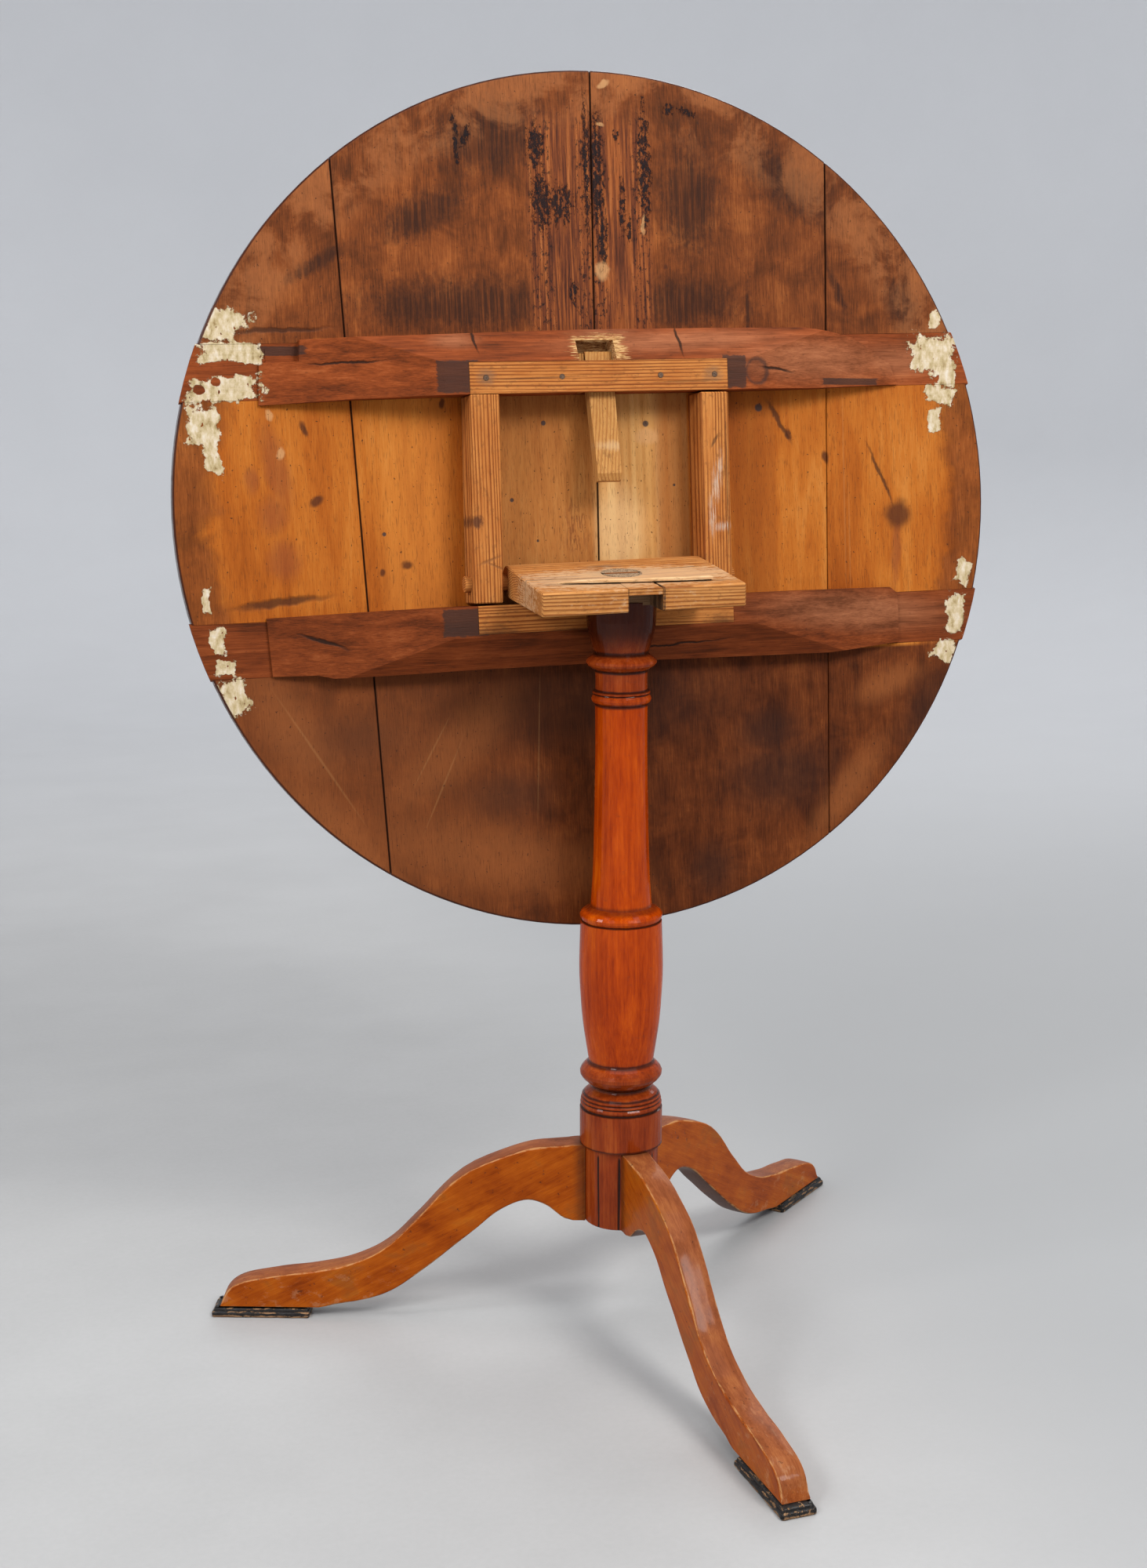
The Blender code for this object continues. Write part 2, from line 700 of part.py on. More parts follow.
keeper_back = -BLOCK_FRONT + NOTCH_DEPTH - GAP
keeper_profile = [
    (-BLOCK_FRONT + 0.0004, KEEPER_BOTTOM),
    (keeper_back, KEEPER_BOTTOM),
    (keeper_back, block_top_at(keeper_back) - 0.0003),
    (-BLOCK_FRONT + 0.0004, BLOCK_FRONT_TOP - 0.0008),
]
keeper_half = (NOTCH_RIGHT - NOTCH_LEFT) / 2 - GAP
keeper_mesh = side_on(prism_mesh("latch_keeper", keeper_profile, keeper_half))
keeper_mesh.transform(Matrix.Translation(((NOTCH_LEFT + NOTCH_RIGHT) / 2, 0.0, 0.0)))
keeper = add_object("latch_keeper", on_pillar(keeper_mesh), "block")
bevel(keeper, 0.0006, 1)


# Pillar
def bulge(top, bottom, reach, count=5):
    """Rounded moulding between two profile points, standing out to reach."""
    points = []
    for step in range(1, count):
        turn = step / count
        radius = top[0] + (bottom[0] - top[0]) * turn
        height = top[1] + (bottom[1] - top[1]) * turn
        swell = math.sin(math.pi * turn)
        points.append((radius + (reach - (top[0] + bottom[0]) / 2) * swell, height))
    return [top] + points + [bottom]


def smooth(points, count):
    """Even curve through the points, with count steps in each span."""
    line = []
    last = len(points) - 1
    for index in range(last):
        before = Vector(points[max(index - 1, 0)])
        start = Vector(points[index])
        end = Vector(points[index + 1])
        after = Vector(points[min(index + 2, last)])
        for step in range(count):
            t = step / count
            spot = 0.5 * (2 * start + (end - before) * t
                          + (2 * before - 5 * start + 4 * end - after) * t * t
                          + (3 * start - before - 3 * end + after) * t * t * t)
            line.append((spot[0], spot[1]))
    line.append(tuple(points[last]))
    return line


profile = [(0.0, PILLAR_TOP), (TENON_RADIUS, PILLAR_TOP), (TENON_RADIUS, SHOULDER)]
profile += smooth([(VASE_RADIUS, SHOULDER), (0.0308, 0.6613), (0.0294, 0.6509), (0.0267, 0.6404), (0.0240, 0.6320)], 2)
profile += bulge((0.0262, 0.6300), (0.0245, 0.6175), 0.0317, 6)
profile += smooth([(0.0235, 0.6165), (0.0231, 0.6080), (0.0234, 0.5990)], 2)
profile += bulge((0.0248, 0.5984), (0.0248, 0.5956), 0.0261, 3)
profile += bulge((0.0250, 0.5952), (0.0246, 0.5868), 0.0269, 4)
profile += smooth([(0.0235, 0.5860), (0.0234, 0.5415), (0.0246, 0.4754), (0.0259, 0.4310), (0.0280, 0.4010)], 2)
profile += bulge((0.0300, 0.4000), (0.0362, 0.3890), 0.0372, 5)
profile += [(0.0357, 0.3880)]
profile += smooth([(0.0371, 0.3870), (0.0383, 0.3455), (0.0373, 0.3187), (0.0352, 0.2917), (0.0314, 0.2653),
                   (0.0297, 0.2545)], 3)
profile += bulge((0.0300, 0.2540), (0.0285, 0.2325), 0.0379, 7)
profile += smooth([(0.0268, 0.2308), (0.0275, 0.2286), (0.0322, 0.2258), (0.0345, 0.2238)], 2)
profile += bulge((0.0348, 0.2232), (0.0356, 0.2200), 0.0362, 3)
profile += bulge((0.0358, 0.2194), (0.0366, 0.2168), 0.0372, 3)
profile += bulge((0.0366, 0.2162), (0.0370, 0.2120), 0.0378, 3)
profile += [(0.0366, 0.2114), (0.0366, 0.2104), (0.0381, 0.2096), (0.0382, COLLAR_BOTTOM)]
profile += [(SOCKET_RADIUS, COLLAR_BOTTOM), (SOCKET_RADIUS, PILLAR_FOOT + 0.001)]
profile += [(SOCKET_RADIUS - 0.001, PILLAR_FOOT), (0.0, PILLAR_FOOT)]


def turned(name, points):
    mesh = bpy.data.meshes.new(name)
    edges = [(index, index + 1) for index in range(len(points) - 1)]
    mesh.from_pydata([(radius, 0.0, height) for radius, height in points], edges, [])
    return mesh


def spin(obj):
    screw = obj.modifiers.new("turning", "SCREW")
    screw.steps = TURN_STEPS
    screw.render_steps = TURN_STEPS
    screw.use_merge_vertices = True
    screw.merge_threshold = 0.00005
    screw.use_smooth_shade = True


pillar = add_object("pillar", turned("pillar", profile), "pillar")
pillar.location = (AXIS_X, AXIS_Y, 0.0)
spin(pillar)
level_outline = [
    (-0.03, block_top_at(-0.03)),
    (0.03, block_top_at(0.03)),
    (0.03, 0.75),
    (-0.03, 0.75),
]
level_mesh = side_on(prism_mesh("tenon_level", level_outline, 0.03))
boolean(pillar, add_object("tenon_level", on_pillar(level_mesh)))


# Legs, keyed into the pillar, and the pads under their feet
def leg_frame(azimuth):
    return Matrix.Translation((AXIS_X, AXIS_Y, 0.0)) @ Matrix.Rotation(math.radians(azimuth), 4, "Z")


def key_mesh(name, spare):
    """Dovetail key in plan, run up the pillar's foot."""
    inner = KEY_INNER - spare
    outer = SOCKET_RADIUS + 0.0020
    low = 0.05 if spare else PILLAR_FOOT + 0.0004
    high = COLLAR_BOTTOM - 0.0005 + spare
    outline = [
        (inner, -KEY_WIDE / 2 - spare),
        (outer, -KEY_NECK / 2 - spare),
        (outer, KEY_NECK / 2 + spare),
        (inner, KEY_WIDE / 2 + spare),
    ]
    mesh = prism_mesh(name, outline, (high - low) / 2)
    mesh.transform(Matrix.Translation((0.0, 0.0, (low + high) / 2)))
    return mesh


socket = round_cutter("socket_wall", SOCKET_RADIUS + GAP, -0.01, 0.29)
leg_outline = smooth(LEG_UPPER, 3) + smooth(LEG_LOWER, 3)
leg_outline.reverse()
for label, (azimuth, reach) in LEGS.items():
    frame = leg_frame(azimuth)
    stretch = reach / LEG_REACH
    outline = [(radius * stretch, height) for radius, height in leg_outline]
    leg_mesh = prism_mesh("leg_" + label, outline, LEG_THICK / 2)
    leg_mesh.transform(Matrix.Rotation(math.pi / 2, 4, "X"))
    leg = add_object("leg_" + label, leg_mesh, "leg")
    leg.matrix_basis = frame
    bevel(leg, 0.0016, 2, 50.0)
    boolean(leg, socket)
    key = add_object("key_" + label, key_mesh("key_" + label, 0.0))
    key.matrix_basis = frame
    boolean(leg, key, "UNION")
    round_off(leg, 30.0)
    slot = add_object("key_slot_" + label, key_mesh("key_slot_" + label, GAP))
    slot.matrix_basis = frame
    boolean(pillar, slot)
    pad_mesh = box_mesh(
        "foot_pad_" + label,
        (PAD_INNER * stretch, -PAD_HALF, 0.0),
        (reach, PAD_HALF, PAD_HEIGHT),
    )
    pad = add_object("foot_pad_" + label, pad_mesh, "pad")
    pad.matrix_basis = frame
    bevel(pad, PAD_EDGE, 3)
    round_off(pad, 50.0)

# Wedge across the pillar's tenon
wedge_top = block_top_at(0.0)
kerf_low = wedge_top - WEDGE_DEPTH
kerf_mesh = box_mesh(
    "tenon_kerf",
    (-0.03, -WEDGE_THICK / 2 - GAP, kerf_low),
    (0.03, WEDGE_THICK / 2 + GAP, PILLAR_TOP + 0.01),
)
boolean(pillar, add_object("tenon_kerf", on_pillar(kerf_mesh)))
wedge_outline = [
    (-WEDGE_THICK / 2 + 0.0008, kerf_low + 0.001),
    (WEDGE_THICK / 2 - 0.0008, kerf_low + 0.001),
    (WEDGE_THICK / 2, wedge_top + 0.0004),
    (-WEDGE_THICK / 2, wedge_top + 0.0004),
]
wedge_mesh = side_on(prism_mesh("tenon_wedge", wedge_outline, WEDGE_LENGTH / 2))
wedge = add_object("tenon_wedge", on_pillar(wedge_mesh), "block")
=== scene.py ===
"""Looks of the tilt top table: camera, studio and the finish of every piece.

Metres, +Z up. Pieces that turn with the top are painted in the top's own
space: u across the underside, v up it and w out of it, from the middle of the
underside of the boards at rest. The base is painted in the row frame.
"""
import json
import math

import bmesh
import bpy
from mathutils import Matrix, Vector


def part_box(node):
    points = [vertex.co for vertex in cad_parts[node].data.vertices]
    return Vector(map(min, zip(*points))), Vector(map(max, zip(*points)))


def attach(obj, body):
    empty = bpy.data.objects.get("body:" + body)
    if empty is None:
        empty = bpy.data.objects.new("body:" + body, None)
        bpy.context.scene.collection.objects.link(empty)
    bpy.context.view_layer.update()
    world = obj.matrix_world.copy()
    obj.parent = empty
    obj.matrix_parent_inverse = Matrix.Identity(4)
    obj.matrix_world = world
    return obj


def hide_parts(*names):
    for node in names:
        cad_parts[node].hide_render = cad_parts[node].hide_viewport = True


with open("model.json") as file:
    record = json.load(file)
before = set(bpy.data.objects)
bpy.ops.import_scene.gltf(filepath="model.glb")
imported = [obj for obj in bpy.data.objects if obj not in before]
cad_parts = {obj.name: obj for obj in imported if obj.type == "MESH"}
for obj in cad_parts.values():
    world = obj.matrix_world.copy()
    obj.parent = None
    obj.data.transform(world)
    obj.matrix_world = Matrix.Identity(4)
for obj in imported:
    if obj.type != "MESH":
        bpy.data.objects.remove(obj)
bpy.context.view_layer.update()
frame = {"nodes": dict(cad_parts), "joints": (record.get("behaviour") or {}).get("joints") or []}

# Space of the tipped top, from the hinge and the table top's mount
HINGE_TO_BOARD = 0.0187
HINGE_TO_CENTRE = 0.0665
TOP_RADIUS = 0.385
TOP_OFF_AXIS = 0.006
joints = {joint["name"]: joint for joint in frame["joints"]}
hinge = joints["top_hinge"]
hinge_at = Vector(hinge["pos_m"])
LEAN = math.radians(6.0)
up_top = Vector((0.0, math.sin(LEAN), math.cos(LEAN)))
out_of_top = Vector((0.0, -math.cos(LEAN), math.sin(LEAN)))
top_at = hinge_at + up_top * HINGE_TO_CENTRE - out_of_top * HINGE_TO_BOARD
TOP_TURN = math.pi / 2 - LEAN
AXIS_X = hinge_at.x
pillar_low, pillar_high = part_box("pillar")
AXIS_Y = (pillar_low.y + pillar_high.y) / 2

# Camera and studio
CAMERA_AT = (-0.6034, -1.73976, 0.9069)
CAMERA_AIM = (0.2874, 0.936, -0.2034)
CAMERA_ROLL = -0.0036
CAMERA_LENS = 49.572
CAMERA_GATE = 36.0
FLOOR_REACH = 3.4
SWEEP_RADIUS = 1.6
SWEEP_HEIGHT = 4.2
SWEEP_SIDES = 96
SWEEP_STEPS = 12
FLOOR_RINGS = 8
FLOOR_DROP = 0.0002
AIR_COLOUR = (0.95, 0.97, 1.0, 1.0)
AIR_STRENGTH = 0.4

# Azimuth of each leg, in degrees
LEG_AZIMUTHS = {"front": 273.26, "left": 160.75, "back": 39.69}


class Finish:
    """One material, written as sums on its own nodes."""

    def __init__(self, name):
        self.material = bpy.data.materials.new(name)
        self.material.use_nodes = True
        self.tree = self.material.node_tree
        self.shader = self.tree.nodes["Principled BSDF"]
        self.reach = None

    def feed(self, value, socket):
        if isinstance(value, bpy.types.NodeSocket):
            self.tree.links.new(value, socket)
        elif isinstance(value, (tuple, list, Vector)):
            length = len(socket.default_value)
            socket.default_value = (tuple(value) + (1.0,))[:length]
        else:
            socket.default_value = value

    def node(self, kind):
        return self.tree.nodes.new(kind)

    def math(self, operation, first, second=0.0):
        node = self.node("ShaderNodeMath")
        node.operation = operation
        self.feed(first, node.inputs[0])
        self.feed(second, node.inputs[1])
        return node.outputs[0]

    def add(self, *values):
        """Sum of values; a pair stands for a value and its share."""
        parts = [self.times(*value) if isinstance(value, tuple) else value for value in values]
        total = parts[0]
        for part in parts[1:]:
            total = self.math("ADD", total, part)
        return total

    def times(self, *values):
        total = values[0]
        for value in values[1:]:
            total = self.math("MULTIPLY", total, value)
        return total

    def most(self, values):
        total = values[0]
        for value in values[1:]:
            total = self.math("MAXIMUM", total, value)
        return total

    def less(self, value):
        return self.math("SUBTRACT", 1.0, value)

    def swing(self, value, by, middle=0.5):
        """How far a value is from its middle, enlarged."""
        return self.times(self.math("SUBTRACT", value, middle), by)

    def over(self, colour, mask, share, tone):
        """A colour with some of a tone laid over it where the mask is."""
        return self.mix(self.times(mask, share), colour, tone)

    def rise(self, value, start, end):
        """0 at start, 1 at end, eased."""
        node = self.node("ShaderNodeMapRange")
        node.interpolation_type = "SMOOTHSTEP"
        self.feed(value, node.inputs["Value"])
        node.inputs["From Min"].default_value = start
        node.inputs["From Max"].default_value = end
        return node.outputs["Result"]

    def band(self, value, low, high, soft):
        """1 between low and high."""
        first = self.rise(value, low - soft, low + soft)
        last = self.rise(value, high + soft, high - soft)
        return self.times(first, last)

    def mix(self, share, first, second):
        node = self.node("ShaderNodeMix")
        node.data_type = "RGBA"
        self.feed(share, node.inputs[0])
        self.feed(first, node.inputs[6])
        self.feed(second, node.inputs[7])
        return node.outputs[2]

    def ramp(self, value, stops, tint=(1.0, 1.0, 1.0)):
        node = self.node("ShaderNodeValToRGB")
        self.feed(value, node.inputs[0])
        points = node.color_ramp.elements
        while len(points) < len(stops):
            points.new(0.5)
        for point, (place, colour) in zip(points, stops):
            point.position = place
            point.color = [part * share for part, share in zip(colour, tint)] + [1.0]
        return node.outputs[0]

    def vector(self, operation, first, second=(0.0, 0.0, 0.0)):
        node = self.node("ShaderNodeVectorMath")
        node.operation = operation
        self.feed(first, node.inputs[0])
        self.feed(second, node.inputs[1])
        if operation in ("LENGTH", "DOT_PRODUCT"):
            return node.outputs["Value"]
        return node.outputs["Vector"]

    def place(self, vector, at=(0.0, 0.0, 0.0), turn=(0.0, 0.0, 0.0), size=(1.0, 1.0, 1.0)):
        """The vector in a space put at a place, turned, and given a size."""
        node = self.node("ShaderNodeMapping")
        node.vector_type = "TEXTURE"
        self.feed(vector, node.inputs["Vector"])
        node.inputs["Location"].default_value = at
        node.inputs["Rotation"].default_value = turn
        node.inputs["Scale"].default_value = size
        return node.outputs["Vector"]

    def noise(self, vector, grain=(0.01, 0.01, 0.01), detail=4.0, rough=0.55, twist=0.0, colour=False):
        """Noise whose blotches are about as large as grain, in metres."""
        node = self.node("ShaderNodeTexNoise")
        self.feed(self.place(vector, size=grain), node.inputs["Vector"])
        node.inputs["Scale"].default_value = 1.0
        node.inputs["Detail"].default_value = detail
        node.inputs["Roughness"].default_value = rough
        node.inputs["Distortion"].default_value = twist
        return node.outputs["Color"] if colour else node.outputs["Fac"]

    def split(self, vector):
        node = self.node("ShaderNodeSeparateXYZ")
        self.feed(vector, node.inputs[0])
        return node.outputs[0], node.outputs[1], node.outputs[2]

    def rest(self, shift=(0.0, 0.0, 0.0)):
        """Where the point is in the row frame, at rest."""
        node = self.node("ShaderNodeTexCoord")
        if not any(shift):
            return node.outputs["Object"]
        return self.vector("ADD", node.outputs["Object"], shift)

    def facing(self):
        return self.node("ShaderNodeTexCoord").outputs["Normal"]

    def patch(self, plane, spot, soft=0.3, edge=None, square=False):
        """1 inside an oval or a square: (u, v, half width, half height, turn in degrees)."""
        u, v, wide, high = spot[:4]
        turn = math.radians(spot[4]) if len(spot) > 4 else 0.0
        local = self.place(plane, (u, v, 0.0), (0.0, 0.0, turn), (wide, high, 1.0))
        if square:
            across, along, _ = self.split(self.vector("ABSOLUTE", local))
            far = self.math("MAXIMUM", across, along)
        else:
            far = self.vector("LENGTH", local)
        if edge is not None:
            far = self.math("ADD", far, edge)
        return self.rise(far, 1.0 + soft, 1.0 - soft)

    def patches(self, plane, spots, soft=0.3, edge=None, square=False):
        """All the spots at once, leaving out those that are off the piece."""
        if self.reach is not None:
            low, high = self.reach
            spots = [
                spot for spot in spots
                if low < spot[0] + max(spot[2:4]) * 1.6 + 0.01
                and spot[0] - max(spot[2:4]) * 1.6 - 0.01 < high
            ]
        if not spots:
            return 0.0
        return self.most([self.patch(plane, spot, soft, edge, square) for spot in spots])

    def bump(self, height, distance, strength=1.0):
        """Adds height, in units of distance, to what is there already."""
        node = self.node("ShaderNodeBump")
        node.inputs["Strength"].default_value = strength
        node.inputs["Distance"].default_value = distance
        self.feed(height, node.inputs["Height"])
        socket = self.shader.inputs["Normal"]
        if socket.is_linked:
            self.tree.links.new(socket.links[0].from_socket, node.inputs["Normal"])
        self.tree.links.new(node.outputs["Normal"], socket)

    def finish(self, colour, roughness, coat=0.0, coat_rough=0.1, specular=0.5):
        self.feed(colour, self.shader.inputs["Base Color"])
        self.feed(roughness, self.shader.inputs["Roughness"])
        self.shader.inputs["Coat Weight"].default_value = coat
        self.shader.inputs["Coat Roughness"].default_value = coat_rough
        self.shader.inputs["Specular IOR Level"].default_value = specular
        return self.material


def wear(node_name, material):
    node = frame["nodes"][node_name]
    for slot in node.material_slots:
        slot.material = material


# Marks on the underside: (u, v, half width, half height, turn in degrees)
PAINT = (
    (-0.327, 0.162, 0.021, 0.018, -20), (-0.331, 0.108, 0.034, 0.012, 4),
    (-0.325, 0.138, 0.03, 0.011, 6), (-0.349, 0.078, 0.017, 0.02), (-0.343, 0.054, 0.009, 0.024),
    (-0.354, -0.071, 0.005, 0.014), (-0.345, -0.11, 0.008, 0.014), (-0.341, -0.132, 0.01, 0.009),
    (-0.334, -0.158, 0.014, 0.018, 25), (0.344, 0.163, 0.007, 0.01, -20),
    (0.341, 0.133, 0.028, 0.021, -12), (0.356, 0.117, 0.013, 0.015), (0.347, 0.095, 0.018, 0.01, -15),
    (0.342, 0.071, 0.008, 0.013), (0.369, -0.072, 0.011, 0.014, -20), (0.361, -0.112, 0.012, 0.024, -8),
    (0.348, -0.147, 0.012, 0.011, -20),
)
BARE_IN_PAINT = (
    (-0.332, 0.126, 0.018, 0.006, 4), (-0.351, 0.108, 0.005, 0.004), (-0.337, 0.114, 0.004, 0.004),
)
TAR = (
    (0.013, 0.295, 0.006, 0.045), (0.017, 0.235, 0.004, 0.022), (-0.044, 0.318, 0.007, 0.018),
    (-0.04, 0.27, 0.009, 0.022), (-0.022, 0.268, 0.012, 0.014), (0.003, 0.3, 0.003, 0.06),
    (0.058, 0.3, 0.005, 0.048), (0.036, 0.268, 0.003, 0.022), (-0.117, 0.322, 0.0022, 0.022, 4),
    (-0.108, 0.326, 0.003, 0.01, -20), (0.083, 0.353, 0.006, 0.004, -12), (0.1, 0.35, 0.008, 0.003, -8),
    (0.032, 0.33, 0.003, 0.004), (0.042, 0.245, 0.002, 0.01), (-0.012, 0.19, 0.003, 0.01),
)
SMOKE = (
    (-0.085, 0.325, 0.05, 0.028, 10), (-0.15, 0.258, 0.04, 0.016, 25), (-0.11, 0.18, 0.09, 0.022),
    (-0.02, 0.2, 0.026, 0.05), (0.1, 0.275, 0.028, 0.05), (0.195, 0.29, 0.045, 0.02, -35),
    (0.09, 0.18, 0.05, 0.022), (-0.245, 0.215, 0.03, 0.006, 30), (0.245, 0.192, 0.004, 0.018, 20),
    (0.155, 0.175, 0.004, 0.02), (0.31, 0.18, 0.014, 0.02, 20),
)
SOOT_BELOW = (
    (-0.03, -0.18, 0.13, 0.035), (0.165, -0.215, 0.03, 0.02), (0.18, -0.255, 0.05, 0.03),
    (0.105, -0.34, 0.02, 0.022), (0.33, -0.205, 0.022, 0.04, -25), (-0.175, -0.345, 0.03, 0.008, -20),
    (-0.235, -0.2, 0.06, 0.02), (-0.09, -0.26, 0.04, 0.02),
)
LIT_BELOW = (
    (-0.285, -0.19, 0.02, 0.05, 30), (-0.24, -0.29, 0.07, 0.018, -48), (-0.1, -0.315, 0.11, 0.026, -12),
    (0.245, -0.275, 0.05, 0.014, 50), (0.29, -0.175, 0.03, 0.012, 20), (-0.14, -0.215, 0.06, 0.02, 40),
)
KNOTS = (
    (0.302, -0.016, 0.013, 0.013), (-0.176, -0.047, 0.005, 0.004), (-0.197, -0.054, 0.003, 0.003),
    (0.191, 0.062, 0.003, 0.005, 20), (0.229, 0.04, 0.003, 0.006, 20), (-0.254, 0.01, 0.006, 0.004, 30),
    (-0.262, 0.073, 0.003, 0.006, 30), (-0.138, 0.093, 0.003, 0.004), (0.077, 0.213, 0.002, 0.002),
)
RED_MARKS = (
    (-0.288, 0.04, 0.01, 0.034, 12), (-0.292, 0.0, 0.012, 0.016, -10), (-0.285, -0.04, 0.014, 0.016),
    (0.3, -0.05, 0.004, 0.03, -4), (-0.31, 0.03, 0.006, 0.01),
)
DARK_LINES = (
    (-0.29, -0.077, 0.038, 0.0035, 6), (0.182, 0.074, 0.002, 0.02, 30),
    (0.285, 0.022, 0.0016, 0.027, 25), (-0.28, 0.158, 0.04, 0.002, 3),
)
NAILS = (
    (0.052, 0.073, 0.0028, 0.0028), (0.163, 0.086, 0.0035, 0.0035), (-0.045, 0.075, 0.0022, 0.0022),
    (-0.077, 0.007, 0.0018, 0.0018), (-0.054, -0.03, 0.0012, 0.0012), (0.078, 0.017, 0.0012, 0.0012),
    (-0.195, -0.02, 0.0018, 0.0018),
)
PALE_MARKS = (
    (0.015, 0.209, 0.0065, 0.008), (0.021, 0.374, 0.006, 0.0022, 20), (0.018, 0.338, 0.004, 0.0018),
    (0.056, 0.25, 0.002, 0.008), (-0.283, 0.052, 0.004, 0.005), (0.052, 0.062, 0.011, 0.008),
    (-0.292, 0.084, 0.003, 0.005, 30),
)
PEN_LINES = (
    (0.2475, 0.01, 0.0009, 0.09), (0.252, -0.04, 0.0008, 0.05), (-0.15, -0.245, 0.0008, 0.04, -25),
    (-0.16, -0.215, 0.0008, 0.03, -30), (-0.262, -0.215, 0.001, 0.06, 32),
    (-0.06, -0.215, 0.0007, 0.06, -3),
)


def top_space(mat, seed=0.0):
    """Spaces of the tipped top: the point, the point laid flat, and u, v, w."""
    point = mat.place(mat.rest(), tuple(top_at), (TOP_TURN, 0.0, 0.0))
    u, v, w = mat.split(point)
    flat = mat.vector("MULTIPLY", point, (1.0, 1.0, 0.0))
    seeded = mat.vector("ADD", point, (seed, seed * 1.7, seed * 0.6)) if seed else point
    return point, flat, seeded, u, v, w


def shaken(mat, flat, reach, size):
    """The flat space pushed about, so that marks get a ragged outline."""
    push = mat.noise(flat, (size, size, size), 3.0, 0.6, colour=True)
    push = mat.vector("SUBTRACT", push, (0.5, 0.5, 0.5))
    push = mat.vector("MULTIPLY", push, (reach, reach, 0.0))
    return mat.vector("ADD", flat, push)


def old_paint(mat, flat, colour):
    """Remnants of cream paint over a colour, and how thick they are."""
    edge_noise = mat.noise(flat, (0.016, 0.016, 0.016), 7.0, 0.7)
    edge = mat.swing(edge_noise, 2.2, 0.41)
    torn = shaken(mat, flat, 0.016, 0.026)
    cover = mat.patches(torn, PAINT, 0.05, edge, True)
    hole_edge = mat.swing(edge_noise, 1.6)
    bare = mat.patches(flat, BARE_IN_PAINT, 0.06, hole_edge)
    chips = mat.rise(mat.noise(flat, (0.004, 0.009, 0.004), 2.0, 0.5), 0.3, 0.28)
    cover = mat.times(cover, mat.less(bare), mat.less(chips))
    dirt = mat.noise(flat, (0.006, 0.012, 0.006), 5.0, 0.65)
    cream = mat.ramp(dirt, (
        (0.3, (0.26, 0.17, 0.07)), (0.42, (0.47, 0.36, 0.19)), (0.55, (0.62, 0.5, 0.33)),
        (0.7, (0.72, 0.64, 0.53)),
    ))
    return mat.mix(cover, colour, cream), cover


def polished_face(mat, seeded):
    """Red-brown polish of the show face and the rim."""
    figure = mat.noise(seeded, (0.014, 0.15, 0.014), 5.0, 0.6, 0.4)
    pores = mat.noise(seeded, (0.0007, 0.012, 0.0007), 2.0, 0.5)
    blend = mat.add((figure, 0.75), (pores, 0.25))
    return mat.ramp(blend, (
        (0.35, (0.06, 0.012, 0.004)), (0.5, (0.13, 0.027, 0.008)), (0.65, (0.23, 0.055, 0.014)),
    ))


# Open joints: (u at mid height, lean, height above which the gap shows)
BOARD_JOINTS = ((-0.216, -0.0427, -1.0), (0.004, 0.0142, -1.0), (0.23, 0.0158, 0.15))
STAIN_TINT = (0.92, 0.8, 0.56)
RAW_TINT = (0.86, 0.74, 0.42)


